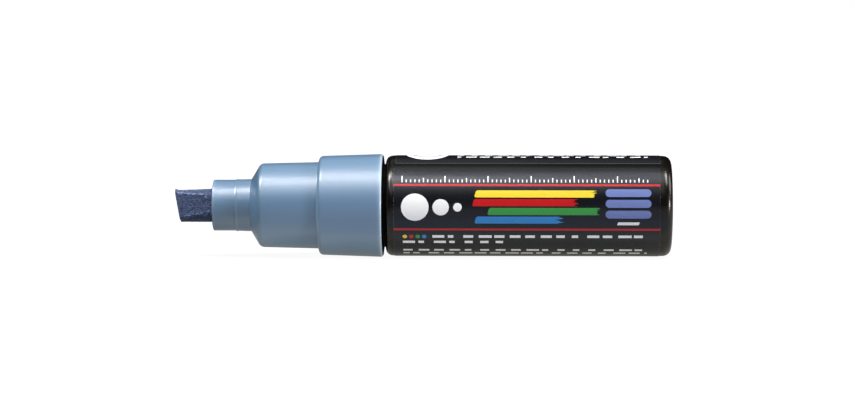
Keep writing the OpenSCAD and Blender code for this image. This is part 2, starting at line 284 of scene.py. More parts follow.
class Graph:
    """A material's node tree, with short calls that add and join nodes."""

    # A Mix node's colour sockets go by number, because its sockets share their names.
    MIX_SHARE, MIX_FIRST, MIX_SECOND, MIX_RESULT = 0, 6, 7, 2
    # Most of a noise's values lie between these two.
    NOISE_LOW, NOISE_HIGH = 0.3, 0.7

    def __init__(self, name: str) -> None:
        """Start a material with a plain Principled shader.

        Args:
            name: The material's name.
        """
        self.material = bpy.data.materials.new(name)
        self.material.use_nodes = True
        self.nodes = self.material.node_tree.nodes
        self.links = self.material.node_tree.links
        self.shader = self.nodes["Principled BSDF"]

    def set(self, **values: float | Colour) -> None:
        """Set the shader's own sockets, named with _ for a space."""
        for name, value in values.items():
            self.shader.inputs[name.replace("_", " ")].default_value = value

    def feed(self, socket: bpy.types.NodeSocket, value: object) -> None:
        """Link a socket to another, or set it to a value.

        Args:
            socket: The socket to feed.
            value: The other socket, or the value.
        """
        if isinstance(value, bpy.types.NodeSocket):
            self.links.new(value, socket)
        else:
            socket.default_value = value

    def wire(self, **sockets: bpy.types.NodeSocket) -> None:
        """Link sockets into the shader, named with _ for a space."""
        for name, socket in sockets.items():
            self.links.new(socket, self.shader.inputs[name.replace("_", " ")])

    def place(self, scale: tuple[float, float, float] = (1.0, 1.0, 1.0)) -> bpy.types.NodeSocket:
        """Add object coordinates.

        Args:
            scale: How much they are stretched along each axis.

        Returns:
            The coordinates.
        """
        source = self.nodes.new("ShaderNodeTexCoord").outputs["Object"]
        mapping = self.nodes.new("ShaderNodeMapping")
        self.links.new(source, mapping.inputs["Vector"])
        mapping.inputs["Scale"].default_value = scale
        return mapping.outputs["Vector"]

    def split(self, vector: bpy.types.NodeSocket) -> tuple[bpy.types.NodeSocket, ...]:
        """Split a vector.

        Args:
            vector: The vector.

        Returns:
            Its X, Y and Z.
        """
        node = self.nodes.new("ShaderNodeSeparateXYZ")
        self.links.new(vector, node.inputs["Vector"])
        return tuple(node.outputs)

    def noise(
        self, scale: float, detail: float = 2.0, stretch: tuple[float, float, float] = (1.0, 1.0, 1.0)
    ) -> bpy.types.NodeSocket:
        """Add a noise on object coordinates.

        Args:
            scale: Waves in a metre.
            detail: Finer layers.
            stretch: Scale along each axis.

        Returns:
            The noise's value, about 0.5.
        """
        node = self.nodes.new("ShaderNodeTexNoise")
        self.links.new(self.place(stretch), node.inputs["Vector"])
        node.inputs["Scale"].default_value = scale
        node.inputs["Detail"].default_value = detail
        return node.outputs["Fac"]

    def math(self, operation: str, first: object, second: object = 0.0) -> bpy.types.NodeSocket:
        """Add a Math node.

        Args:
            operation: What it works out.
            first: A socket or a number.
            second: Another one.

        Returns:
            The node's value.
        """
        node = self.nodes.new("ShaderNodeMath")
        node.operation = operation
        self.feed(node.inputs[0], first)
        self.feed(node.inputs[1], second)
        return node.outputs["Value"]

    def product(self, first: bpy.types.NodeSocket, *others: object) -> bpy.types.NodeSocket:
        """Multiply a socket by other sockets or numbers.

        Args:
            first: The socket.
            others: The others.

        Returns:
            The product.
        """
        for other in others:
            first = self.math("MULTIPLY", first, other)
        return first

    def within(self, value: bpy.types.NodeSocket, middle: object, half: float) -> bpy.types.NodeSocket:
        """Return 1 where a value is less than half a width from a middle, and 0 elsewhere."""
        off = self.math("ABSOLUTE", self.math("SUBTRACT", value, middle))
        return self.math("LESS_THAN", off, half)

    def span(
        self, value: bpy.types.NodeSocket, low: float, high: float, to_low: float, to_high: float,
        smooth: bool = False,
    ) -> bpy.types.NodeSocket:
        """Map a range of values to another range.

        Args:
            value: The value to map.
            low: Start of its range.
            high: End of its range.
            to_low: What the start becomes.
            to_high: What the end becomes.
            smooth: Whether to ease both ends.

        Returns:
            The mapped value.
        """
        node = self.nodes.new("ShaderNodeMapRange")
        node.interpolation_type = "SMOOTHSTEP" if smooth else "LINEAR"
        self.links.new(value, node.inputs["Value"])
        for name, number in zip(("From Min", "From Max", "To Min", "To Max"), (low, high, to_low, to_high)):
            node.inputs[name].default_value = number
        return node.outputs["Result"]

    def spread(self, value: bpy.types.NodeSocket, low: float, high: float) -> bpy.types.NodeSocket:
        """Spread most of a noise's values over a range."""
        return self.span(value, self.NOISE_LOW, self.NOISE_HIGH, low, high)

    def mix(self, share: object, first: object, second: object) -> bpy.types.NodeSocket:
        """Mix two colours.

        Args:
            share: The second colour's share, from 0 to 1.
            first: The first colour.
            second: The second colour.

        Returns:
            The mixed colour.
        """
        node = self.nodes.new("ShaderNodeMix")
        node.data_type = "RGBA"
        self.feed(node.inputs[self.MIX_SHARE], share)
        self.feed(node.inputs[self.MIX_FIRST], first)
        self.feed(node.inputs[self.MIX_SECOND], second)
        return node.outputs[self.MIX_RESULT]

    def bump(self, height: bpy.types.NodeSocket, depth_mm: float, strength: float) -> bpy.types.NodeSocket:
        """Add a bump.

        Args:
            height: The height from 0 to 1.
            depth_mm: Depth of the relief, in millimetres.
            strength: Share of the relief that shows.

        Returns:
            The bent normal.
        """
        node = self.nodes.new("ShaderNodeBump")
        node.inputs["Strength"].default_value = strength
        node.inputs["Distance"].default_value = depth_mm * MM
        self.links.new(height, node.inputs["Height"])
        return node.outputs["Normal"]


@dataclass(frozen=True)
class MouldedPlastic:
    """Injection-moulded plastic with a fine grain and faint handling marks.

    Attributes:
        name: The material's name.
        colour: Its colour.
        shade: The same colour where the moulding flowed slower.
        rough_low: Roughness of its smoother spots.
        rough_high: Roughness of its duller spots.
        grain_mm: Depth of its grain.
        gloss: Strength of its mirror reflection, 0.5 for common plastic.
        coat: Share of a clear skin over it.
        coat_rough: Roughness of that skin.
        coat_ior: Refractive index of that skin.
        tint: Tint of its mirror reflection.
    """

    name: str
    colour: Colour
    shade: Colour
    rough_low: float
    rough_high: float
    grain_mm: float
    gloss: float = 0.5
    coat: float = 0.0
    coat_rough: float = 0.3
    coat_ior: float = 1.5
    tint: Colour = (1.0, 1.0, 1.0, 1.0)

    IOR = 1.5
    FLOW_WAVES = 90.0
    FLOW_STRETCH = (0.35, 1.0, 1.0)
    FLOW_SPAN = (0.35, 0.65)
    DULL_WAVES = 420.0
    DULL_STRETCH = (0.2, 1.0, 1.0)
    GRAIN_WAVES = 5200.0
    GRAIN_STRENGTH = 0.5

    def pigment(self, graph: Graph) -> bpy.types.NodeSocket:
        """Return the plastic's colour, with faint marks of its flow in the mould."""
        flow = graph.noise(self.FLOW_WAVES, detail=3.0, stretch=self.FLOW_STRETCH)
        return graph.mix(graph.span(flow, *self.FLOW_SPAN, 0.0, 1.0), self.shade, self.colour)

    def material(self) -> bpy.types.Material:
        """Make the material.

        Returns:
            The new material.
        """
        graph = Graph(self.name)
        dull = graph.noise(self.DULL_WAVES, detail=4.0, stretch=self.DULL_STRETCH)
        grain = graph.noise(self.GRAIN_WAVES)
        graph.wire(
            Base_Color=self.pigment(graph),
            Roughness=graph.spread(dull, self.rough_low, self.rough_high),
            Normal=graph.bump(grain, self.grain_mm, self.GRAIN_STRENGTH),
        )
        graph.set(IOR=self.IOR, Specular_IOR_Level=self.gloss, Specular_Tint=self.tint)
        graph.set(Coat_Weight=self.coat, Coat_Roughness=self.coat_rough, Coat_IOR=self.coat_ior)
        return graph.material


@dataclass(frozen=True)
class EdgeGlowPaintedPlastic(MouldedPlastic):
    """Moulded plastic whose colour is painted lighter beside its edges, a painted glow that stands in for
    light coming through them.

    Attributes:
        glow: The colour painted at the very edge, the lightest of the painted glow.
        edges: For each edge its place along X in metres, which way the plastic lies from it
            (1 for +X) and how strong its painted glow is.
    """

    glow: Colour = (1.0, 1.0, 1.0, 1.0)
    edges: tuple[tuple[float, int, float], ...] = ()

    REACH_MM = 2.0
    SPILL_MM = 0.2
    FADE_POWER = 5.0

    def pigment(self, graph: Graph) -> bpy.types.NodeSocket:
        """Mix the plastic's colour, painted lighter beside its edges as a painted glow.

        Args:
            graph: The material's nodes.

        Returns:
            The colour.
        """
        colour = super().pigment(graph)
        x, _, _ = graph.split(graph.place())
        for edge, way, share in self.edges:
            off = graph.math("MULTIPLY", graph.math("SUBTRACT", x, edge), way / MM)
            near = graph.span(graph.math("ABSOLUTE", off), 0.0, self.REACH_MM, 1.0, 0.0)
            fade = graph.math("POWER", near, self.FADE_POWER)
            inside = graph.math("GREATER_THAN", off, -self.SPILL_MM)
            # Painted glow: the colour turns lighter towards each edge.
            colour = graph.mix(graph.product(fade, inside, share), colour, self.glow)
        return colour


@dataclass(frozen=True)
class SoakedFelt:
    """Pressed felt that is soaked with paint.

    Attributes:
        name: The material's name.
        deep: Colour in its pores.
        fibre: Colour of its fibres.
        glint: Lighter colour where paint stands wet on the fibres, a painted glint.
    """

    name: str
    deep: Colour
    fibre: Colour
    glint: Colour

    IOR = 1.45
    STRAND_WAVES = 2400.0
    STRAND_STRETCH = (0.8, 1.0, 1.0)
    STRAND_SPAN = (0.34, 0.66)
    STRAND_MM = 0.06
    STRAND_STRENGTH = 0.8
    CLUMP_WAVES = 2300.0
    CLUMP_STRETCH = (0.6, 1.0, 1.0)
    # Wet spots, more of them along the ridges, get a lower roughness and the lighter glint colour, which is
    # a painted glint.
    RIDGE_SHARE = 0.17
    WET_SPAN = (0.64, 0.84)
    DRY_ROUGH = 0.7
    WET_ROUGH = 0.36
    FUZZ = 0.6
    FUZZ_ROUGH = 0.5
    FUZZ_TINT = srgb(170, 178, 205)

    def material(self) -> bpy.types.Material:
        """Make the material.

        Returns:
            The new material.
        """
        graph = Graph(self.name)
        strand = graph.noise(self.STRAND_WAVES, detail=3.0, stretch=self.STRAND_STRETCH)
        clump = graph.noise(self.CLUMP_WAVES, detail=3.0, stretch=self.CLUMP_STRETCH)
        ridge = graph.nodes.new("ShaderNodeAttribute")
        ridge.attribute_name = Nib.RIDGE_NAME
        body = graph.mix(graph.span(strand, *self.STRAND_SPAN, 0.0, 1.0), self.deep, self.fibre)
        crest = graph.math("MULTIPLY", ridge.outputs["Fac"], self.RIDGE_SHARE)
        wet_and_glint = graph.span(graph.math("ADD", clump, crest), *self.WET_SPAN, 0.0, 1.0, smooth=True)
        graph.wire(
            # Painted glint: the wet spots take the lighter glint colour, while their lower roughness is real
            # wet gloss.
            Base_Color=graph.mix(wet_and_glint, body, self.glint),
            Roughness=graph.span(wet_and_glint, 0.0, 1.0, self.DRY_ROUGH, self.WET_ROUGH),
            Normal=graph.bump(strand, self.STRAND_MM, self.STRAND_STRENGTH),
        )
        graph.set(IOR=self.IOR)
        graph.set(Sheen_Weight=self.FUZZ, Sheen_Roughness=self.FUZZ_ROUGH, Sheen_Tint=self.FUZZ_TINT)
        return graph.material


@dataclass(frozen=True)
class BareMetal:
    """Drawn or polished steel.

    Attributes:
        name: The material's name.
        colour: Its colour.
        rough_low: Roughness of its brighter spots.
        rough_high: Roughness of its duller spots.
    """

    name: str
    colour: Colour
    rough_low: float
    rough_high: float

    SMEAR_WAVES = 700.0
    DULL_SHARE = 0.8

    def material(self) -> bpy.types.Material:
        """Make the material.

        Returns:
            The new material.
        """
        graph = Graph(self.name)
        smear = graph.noise(self.SMEAR_WAVES, detail=4.0)
        graph.wire(
            Base_Color=graph.mix(smear, darker(self.colour, self.DULL_SHARE), self.colour),
            Roughness=graph.spread(smear, self.rough_low, self.rough_high),
        )
        graph.set(Metallic=1.0)
        return graph.material


class Ink(Enum):
    """Inks on the label."""

    RED = srgb(196, 30, 33)
    SLATE = srgb(112, 127, 184)
    WHITE = srgb(250, 250, 250)
    YELLOW = srgb(246, 214, 62)
    GREEN = srgb(58, 150, 70)
    BLUE = srgb(52, 138, 208)


INK_SOFT_MM = 0.05
PAINTS = (Ink.YELLOW, Ink.RED, Ink.GREEN, Ink.BLUE)


@dataclass(frozen=True)
class Sheet:
    """A point on the flat film, as sockets in the film's material.

    Attributes:
        along: Millimetres from the film's front edge.
        across: Millimetres round the marker, above the line that faces the camera.
        streak: A noise about 0.5 that runs along the film like the hairs of a brush.
    """

    along: bpy.types.NodeSocket
    across: bpy.types.NodeSocket
    streak: bpy.types.NodeSocket


@dataclass(frozen=True)
class Bar:
    """A printed bar in the film's own millimetres.

    Attributes:
        ink: Its ink.
        along: Its middle, from the film's front edge.
        across: Its middle, above the line that faces the camera.
        length: Its length along the marker.
        height: Its height round the marker.
        corner: Radius of its corners.
        slant: How far its upper edge leans along the marker.
        ragged: How far its rear end frays, like a stroke of a dry brush.
    """

    ink: Ink
    along: float
    across: float
    length: float
    height: float
    corner: float = 0.0
    slant: float = 0.0
    ragged: float = 0.0

    FRAY_SPAN = (0.25, 0.75)

    def cover(self, graph: Graph, sheet: Sheet) -> bpy.types.NodeSocket:
        """Return the share of ink at a point of the film, from 0 to 1.

        Args:
            graph: The film's nodes.
            sheet: The point.

        Returns:
            The share.
        """
        up = graph.math("SUBTRACT", sheet.across, self.across)
        side = graph.math("SUBTRACT", sheet.along, self.along)
        if self.slant:
            side = graph.math("SUBTRACT", side, graph.math("MULTIPLY", up, self.slant / self.height))
        reach_x = graph.math("SUBTRACT", graph.math("ABSOLUTE", side), self.length / 2 - self.corner)
        if self.ragged:
            rear = graph.math("GREATER_THAN", side, 0.0)
            fray = graph.span(sheet.streak, *self.FRAY_SPAN, 0.0, self.ragged)
            reach_x = graph.math("ADD", reach_x, graph.math("MULTIPLY", fray, rear))
        reach_y = graph.math("SUBTRACT", graph.math("ABSOLUTE", up), self.height / 2 - self.corner)
        out_x = graph.math("MAXIMUM", reach_x, 0.0)
        out_y = graph.math("MAXIMUM", reach_y, 0.0)
        square = graph.math("ADD", graph.product(out_x, out_x), graph.product(out_y, out_y))
        inner = graph.math("MINIMUM", graph.math("MAXIMUM", reach_x, reach_y), 0.0)
        distance = graph.math("ADD", graph.math("SQRT", square), inner)
        half = INK_SOFT_MM / 2
        return graph.span(distance, self.corner - half, self.corner + half, 1.0, 0.0, smooth=True)


@dataclass(frozen=True)
class Disc:
    """A printed disc or oval in the film's own millimetres.

    Attributes:
        ink: Its ink.
        along: Its middle, from the film's front edge.
        across: Its middle, above the line that faces the camera.
        length: Its length along the marker.
        height: Its height round the marker.
    """

    ink: Ink
    along: float
    across: float
    length: float
    height: float

    def cover(self, graph: Graph, sheet: Sheet) -> bpy.types.NodeSocket:
        """Return the share of ink at a point of the film, from 0 to 1.

        Args:
            graph: The film's nodes.
            sheet: The point.

        Returns:
            The share.
        """
        x = graph.math("MULTIPLY", graph.math("SUBTRACT", sheet.along, self.along), 2 / self.length)
        y = graph.math("MULTIPLY", graph.math("SUBTRACT", sheet.across, self.across), 2 / self.height)
        square = graph.math("ADD", graph.product(x, x), graph.product(y, y))
        soft = INK_SOFT_MM / min(self.length, self.height)
        return graph.span(graph.math("SQRT", square), 1 - soft, 1 + soft, 1.0, 0.0, smooth=True)


@dataclass(frozen=True)
class DashBlock:
    """Rows of printed dashes of uneven length, in the film's own millimetres.

    Attributes:
        ink: Their ink.
        start: Where the rows start, from the film's front edge.
        end: Where the rows end.
        top: The first row's upper edge, above the line that faces the camera.
        rows: How many rows there are.
        row_pitch: From one row to the next.
        dash_pitch: From one dash to the next.
        seed: Picks the lengths.
        height: Height of a dash.
    """

    ink: Ink
    start: float
    end: float
    top: float
    rows: int
    row_pitch: float
    dash_pitch: float
    seed: float
    height: float = 0.75

    SHORT_SHARE = 0.35
    LONG_SHARE = 0.88
    ROW_SHIFT = 0.37
    ROW_SEED = 41.0

    def cover(self, graph: Graph, sheet: Sheet) -> bpy.types.NodeSocket:
        """Return the share of ink at a point of the film, 0 or 1.

        Args:
            graph: The film's nodes.
            sheet: The point.

        Returns:
            The share.
        """
        down = graph.math("MULTIPLY", graph.math("SUBTRACT", self.top, sheet.across), 1 / self.row_pitch)
        row = graph.math("FLOOR", down)
        on_row = graph.math("LESS_THAN", graph.math("FRACT", down), self.height / self.row_pitch)
        first = graph.math("MULTIPLY", graph.math("SUBTRACT", sheet.along, self.start), 1 / self.dash_pitch)
        place = graph.math("ADD", first, graph.math("MULTIPLY", row, self.ROW_SHIFT))
        number = graph.math("ADD", graph.math("FLOOR", place), graph.math("MULTIPLY", row, self.ROW_SEED))
        pick = graph.nodes.new("ShaderNodeTexWhiteNoise")
        pick.noise_dimensions = "1D"
        graph.links.new(graph.math("ADD", number, self.seed), pick.inputs["W"])
        share = graph.span(pick.outputs["Value"], 0.0, 1.0, self.SHORT_SHARE, self.LONG_SHARE)
        on_dash = graph.math("LESS_THAN", graph.math("FRACT", place), share)
        in_length = graph.within(sheet.along, (self.start + self.end) / 2, (self.end - self.start) / 2)
        in_rows = graph.within(down, self.rows / 2, self.rows / 2)
        return graph.product(in_length, in_rows, on_row, on_dash)


@dataclass(frozen=True)
class TickRow:
    """A printed millimetre scale without figures, in the film's own millimetres.

    Attributes:
        ink: Its ink.
        start: Its first tick, from the film's front edge.
        count: How many millimetres it has.
        foot: Where its ticks stand, above the line that faces the camera.
        width: Width of a tick.
        low: Height of a common tick.
        middle: Height of every fifth tick.
        high: Height of every tenth tick.
    """

    ink: Ink
    start: float
    count: int
    foot: float
    width: float = 0.24
    low: float = 0.75
    middle: float = 1.2
    high: float = 1.75

    # Added to a tick's number, so that rounding can't take its remainder below 0.
    ROUNDING = 0.1
    HALF_MM = 0.5

    def cover(self, graph: Graph, sheet: Sheet) -> bpy.types.NodeSocket:
        """Return the share of ink at a point of the film, 0 or 1.

        Args:
            graph: The film's nodes.
            sheet: The point.

        Returns:
            The share.
        """
        place = graph.math("SUBTRACT", sheet.along, self.start)
        number = graph.math("ROUND", place)
        on_tick = graph.within(place, number, self.width / 2)
        height: object = self.low
        for every, tall in ((5.0, self.middle), (10.0, self.high)):
            rest = graph.math("MODULO", graph.math("ADD", number, self.ROUNDING), every)
            is_one = graph.math("LESS_THAN", rest, self.HALF_MM)
            height = graph.math("MAXIMUM", height, graph.math("MULTIPLY", is_one, tall))
        up = graph.math("SUBTRACT", sheet.across, self.foot)
        above_foot = graph.math("GREATER_THAN", up, 0.0)
        below_top = graph.math("LESS_THAN", up, height)
        in_length = graph.within(place, self.count / 2, self.count / 2 + self.width)
        return graph.product(on_tick, above_foot, below_top, in_length)


Print = Bar | Disc | DashBlock | TickRow


@dataclass(frozen=True)
class PrintedFilm:
    """Satin black film with a generic print and a fine lighter band along its cut edges, a painted
    highlight.

    Attributes:
        name: The material's name.
        base: The film's black.
        edge_highlight: Colour of the band along the cut edges, a painted highlight.
        length: The film's length along the marker, in millimetres.
        top: Place of the film's upper edge above the line that faces the camera, in millimetres.
        girth: The film's length round the marker, in millimetres.
        prints: What is printed on it.
    """

    name: str
    base: Colour
    edge_highlight: Colour
    length: float
    top: float
    girth: float
    prints: tuple[Print, ...]

    # Widths and strength of the painted highlight along the cut ends and the flap's edge.
    MARGIN_MM = 0.1
    FLAP_MARGIN_MM = 0.3
    FLAP_SHARE = 0.18
    WANDER_WAVES = 1500.0
    WANDER_SPAN = (0.42, 0.62)
    WANDER_SHARE = 0.35
    HAIR_MM = 0.32
    STREAK_MM = 9.0
    FADE_WAVES = 240.0
    FADE_STRETCH = (0.4, 1.0, 1.0)
    FADED_SHARE = 0.8
    SMEAR_WAVES = 260.0
    SMEAR_STRETCH = (0.3, 1.0, 1.0)
    ROUGH = (0.24, 0.29)
    RIPPLE_WAVES = 140.0
    RIPPLE_STRETCH = (0.5, 1.0, 1.0)
    RIPPLE_MM = 0.004
    RIPPLE_STRENGTH = 0.4
    IOR = 1.5
    GLOSS = 0.54
    GLOSS_TINT = (0.88, 0.91, 1.0, 1.0)

    def sheet(self, graph: Graph) -> Sheet:
        """Find a point of the film from its own UV map.

        Args:
            graph: The film's nodes.

        Returns:
            The point.
        """
        source = graph.nodes.new("ShaderNodeUVMap")
        source.uv_map = Label.UV_NAME
        u, v, _ = graph.split(source.outputs["UV"])
        along = graph.math("MULTIPLY", u, self.length)
        across = graph.math("ADD", graph.math("MULTIPLY", v, self.girth), self.top - self.girth)
        hairs = graph.nodes.new("ShaderNodeCombineXYZ")
        graph.links.new(graph.math("MULTIPLY", along, 1 / self.STREAK_MM), hairs.inputs["X"])
        graph.links.new(graph.math("MULTIPLY", across, 1 / self.HAIR_MM), hairs.inputs["Y"])
        streak = graph.nodes.new("ShaderNodeTexNoise")
        graph.links.new(hairs.outputs["Vector"], streak.inputs["Vector"])
        streak.inputs["Scale"].default_value = 1.0
        return Sheet(along, across, streak.outputs["Fac"])

    def rim(self, graph: Graph, sheet: Sheet) -> bpy.types.NodeSocket:
        """Return the share of painted highlight at a point, which comes and goes along the cut ends.

        Args:
            graph: The film's nodes.
            sheet: The point.

        Returns:
            The share.
        """
        half = self.length / 2
        inside = graph.within(sheet.along, half, half - self.MARGIN_MM)
        at_end = graph.math("SUBTRACT", 1.0, inside)
        side = graph.math("SUBTRACT", sheet.across, self.top - self.girth)
        at_side = graph.math("LESS_THAN", side, self.FLAP_MARGIN_MM)
        wander = graph.span(graph.noise(self.WANDER_WAVES), *self.WANDER_SPAN, 0.0, self.WANDER_SHARE)
        return graph.math("MAXIMUM", graph.product(at_end, wander), graph.product(at_side, self.FLAP_SHARE))

    def material(self) -> bpy.types.Material:
        """Make the material.

        Returns:
            The new material.
        """
        graph = Graph(self.name)
        sheet = self.sheet(graph)
        fade = graph.noise(self.FADE_WAVES, detail=3.0, stretch=self.FADE_STRETCH)
        colour = graph.mix(fade, darker(self.base, self.FADED_SHARE), self.base)
        for item in self.prints:
            colour = graph.mix(item.cover(graph, sheet), colour, item.ink.value)
        # Painted highlight: a lighter band along the film's cut ends and the flap's edge.
        colour = graph.mix(self.rim(graph, sheet), colour, self.edge_highlight)
        smear = graph.noise(self.SMEAR_WAVES, detail=4.0, stretch=self.SMEAR_STRETCH)
        ripple = graph.noise(self.RIPPLE_WAVES, stretch=self.RIPPLE_STRETCH)
        graph.wire(
            Base_Color=colour,
            Roughness=graph.spread(smear, *self.ROUGH),
            Normal=graph.bump(ripple, self.RIPPLE_MM, self.RIPPLE_STRENGTH),
        )
        graph.set(IOR=self.IOR, Specular_IOR_Level=self.GLOSS, Specular_Tint=self.GLOSS_TINT)
        return graph.material


@dataclass
class FrontSection:
    """Nose, cone, grip and collar: one moulding with a ribbed bore for the nib.

    Sizes whose names end in _r are radii from the axis, and those that end in _round are fillets.
    """

    axis: Axis
    nose_r: float = 6.0
    nose_len: float = 9.0
    nose_round: float = 0.3
    nose_flare: float = 0.16
    bead_inset: float = 5.61
    bead_h: float = 0.17
    bead_half: float = 0.42
    bead_round: float = 0.15
    bead_foot_round: float = 0.1
    cone_len: float = 2.2
    grip_front_r: float = 9.867
    grip_rear_r: float = 10.191
    grip_len: float = 13.75
    grip_round: float = 1.4
    step_round: float = 0.2
    collar_front_r: float = 11.641
    collar_rear_r: float = 12.13
    collar_round: float = 1.1
    rim_round: float = 0.4
    socket_r: float = 9.83
    socket_inset: float = 1.45
    socket_round: float = 0.15
    cavity_r: float = 8.267
    cavity_round: float = 0.3
    bore_r: float = 4.5
    mouth_round: float = 0.2
    rib_tip_r: float = 3.96
    rib_count: int = 6
    rib_w: float = 1.0
    rib_inset: float = 0.6
    guide_r: float = 5.7
    guide_len: float = 8.6
    cone_wall: float = 0.6
    steps: int = 192

    ON_BORE_MM = 0.02

    def __post_init__(self) -> None:
        """Read the ends of the moulding off the frame."""
        low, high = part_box("front_section")
        self.front = self.axis.station(low.x)
        self.rim = self.axis.station(high.x)
        self.cone = self.front + self.nose_len
        self.grip = self.cone + self.cone_len
        self.collar = self.grip + self.grip_len
        self.guide_end = self.grip + self.guide_len

    def corners(self) -> list[Corner]:
        """Lay out the wall's outline, outside first and then back through the bore.

        Returns:
            Its corners.
        """
        bead = self.front + self.bead_inset
        ledge = self.collar + self.socket_inset
        behind_bead = self.nose_r + self.nose_flare / 2
        return [
            Corner(self.front, self.nose_r, self.nose_round),
            Corner(bead - self.bead_half, self.nose_r, self.bead_foot_round),
            Corner(bead, self.nose_r + self.bead_h, self.bead_round),
            Corner(bead + self.bead_half, behind_bead, self.bead_foot_round),
            Corner(self.cone, self.nose_r + self.nose_flare, self.step_round),
            Corner(self.grip, self.grip_front_r, self.grip_round),
            Corner(self.collar, self.grip_rear_r, self.step_round),
            Corner(self.collar, self.collar_front_r, self.collar_round),
            Corner(self.rim, self.collar_rear_r, self.rim_round),
            Corner(self.rim, self.socket_r, self.socket_round),
            Corner(ledge, self.socket_r),
            Corner(ledge, self.cavity_r),
            Corner(self.grip + self.cone_wall, self.cavity_r, self.cavity_round),
            Corner(self.grip + self.cone_wall, self.guide_r, self.step_round),
            Corner(self.guide_end, self.guide_r, self.step_round),
            Corner(self.guide_end, self.bore_r),
            Corner(self.front + self.rib_inset, self.bore_r),
            Corner(self.front, self.bore_r, self.mouth_round),
        ]

    def raise_ribs(self, shape: Mesh) -> None:
        """Extrude the ribs out of the bore's wall, towards the nib.

        Args:
            shape: The turned moulding.
        """
        half = math.degrees(self.rib_w / 2 / self.bore_r)
        pitch = 360 / self.rib_count
        start = self.front + self.rib_inset
        faces = []
        for face in shape.bm.faces:
            middle = face.calc_center_median()
            on_bore = abs(self.axis.radius(middle) - self.bore_r) < self.ON_BORE_MM
            inside = start < self.axis.station(middle.x) < self.guide_end
            off = (self.axis.above(middle) + pitch / 2) % pitch - pitch / 2
            if on_bore and inside and abs(off) < half:
                faces.append(face)
        made = bmesh.ops.extrude_face_region(shape.bm, geom=faces)["geom"]
        tips = [g for g in made if isinstance(g, bmesh.types.BMVert)]
        share = self.rib_tip_r / self.bore_r
        bmesh.ops.scale(
            shape.bm, vec=(1, share, share), space=Matrix.Translation(-self.axis.centre), verts=tips
        )

    def slate_plastic(self) -> EdgeGlowPaintedPlastic:
        """Choose the moulding's plastic, with the places of the edges where a glow is painted into its
        colour.

        Returns:
            The plastic.
        """
        low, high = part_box("front_section")
        step = self.axis.at(self.collar).x
        bead = self.axis.at(self.front + self.bead_inset).x
        return EdgeGlowPaintedPlastic(
            "slate_blue_plastic", colour=(0.136, 0.244, 0.384, 1.0), shade=(0.131, 0.236, 0.373, 1.0),
            rough_low=0.46, rough_high=0.52, grain_mm=0.003,
            # The glow is painted light beside the nose's front, the bead, the collar's step and the rim.
            coat=1.0, coat_rough=0.3, coat_ior=1.8, glow=(0.66, 0.82, 0.98, 1.0),
            edges=((low.x, 1, 0.25), (bead, 1, 0.1), (step, 1, 0.15), (high.x, -1, 1.0)),
        )

    def build(self, finish: MouldedPlastic) -> bpy.types.Object:
        """Model the moulding and dress it.

        Args:
            finish: Its plastic.

        Returns:
            The piece.
        """
        shape = Mesh(self.axis)
        shape.turn(self.corners(), self.steps, closed=True)
        self.raise_ribs(shape)
        piece = shape.finish("front_moulding")
        piece.data.materials.append(finish.material())
        place(piece, Body.MARKER, Slot.FRONT, "front_section")
        return piece


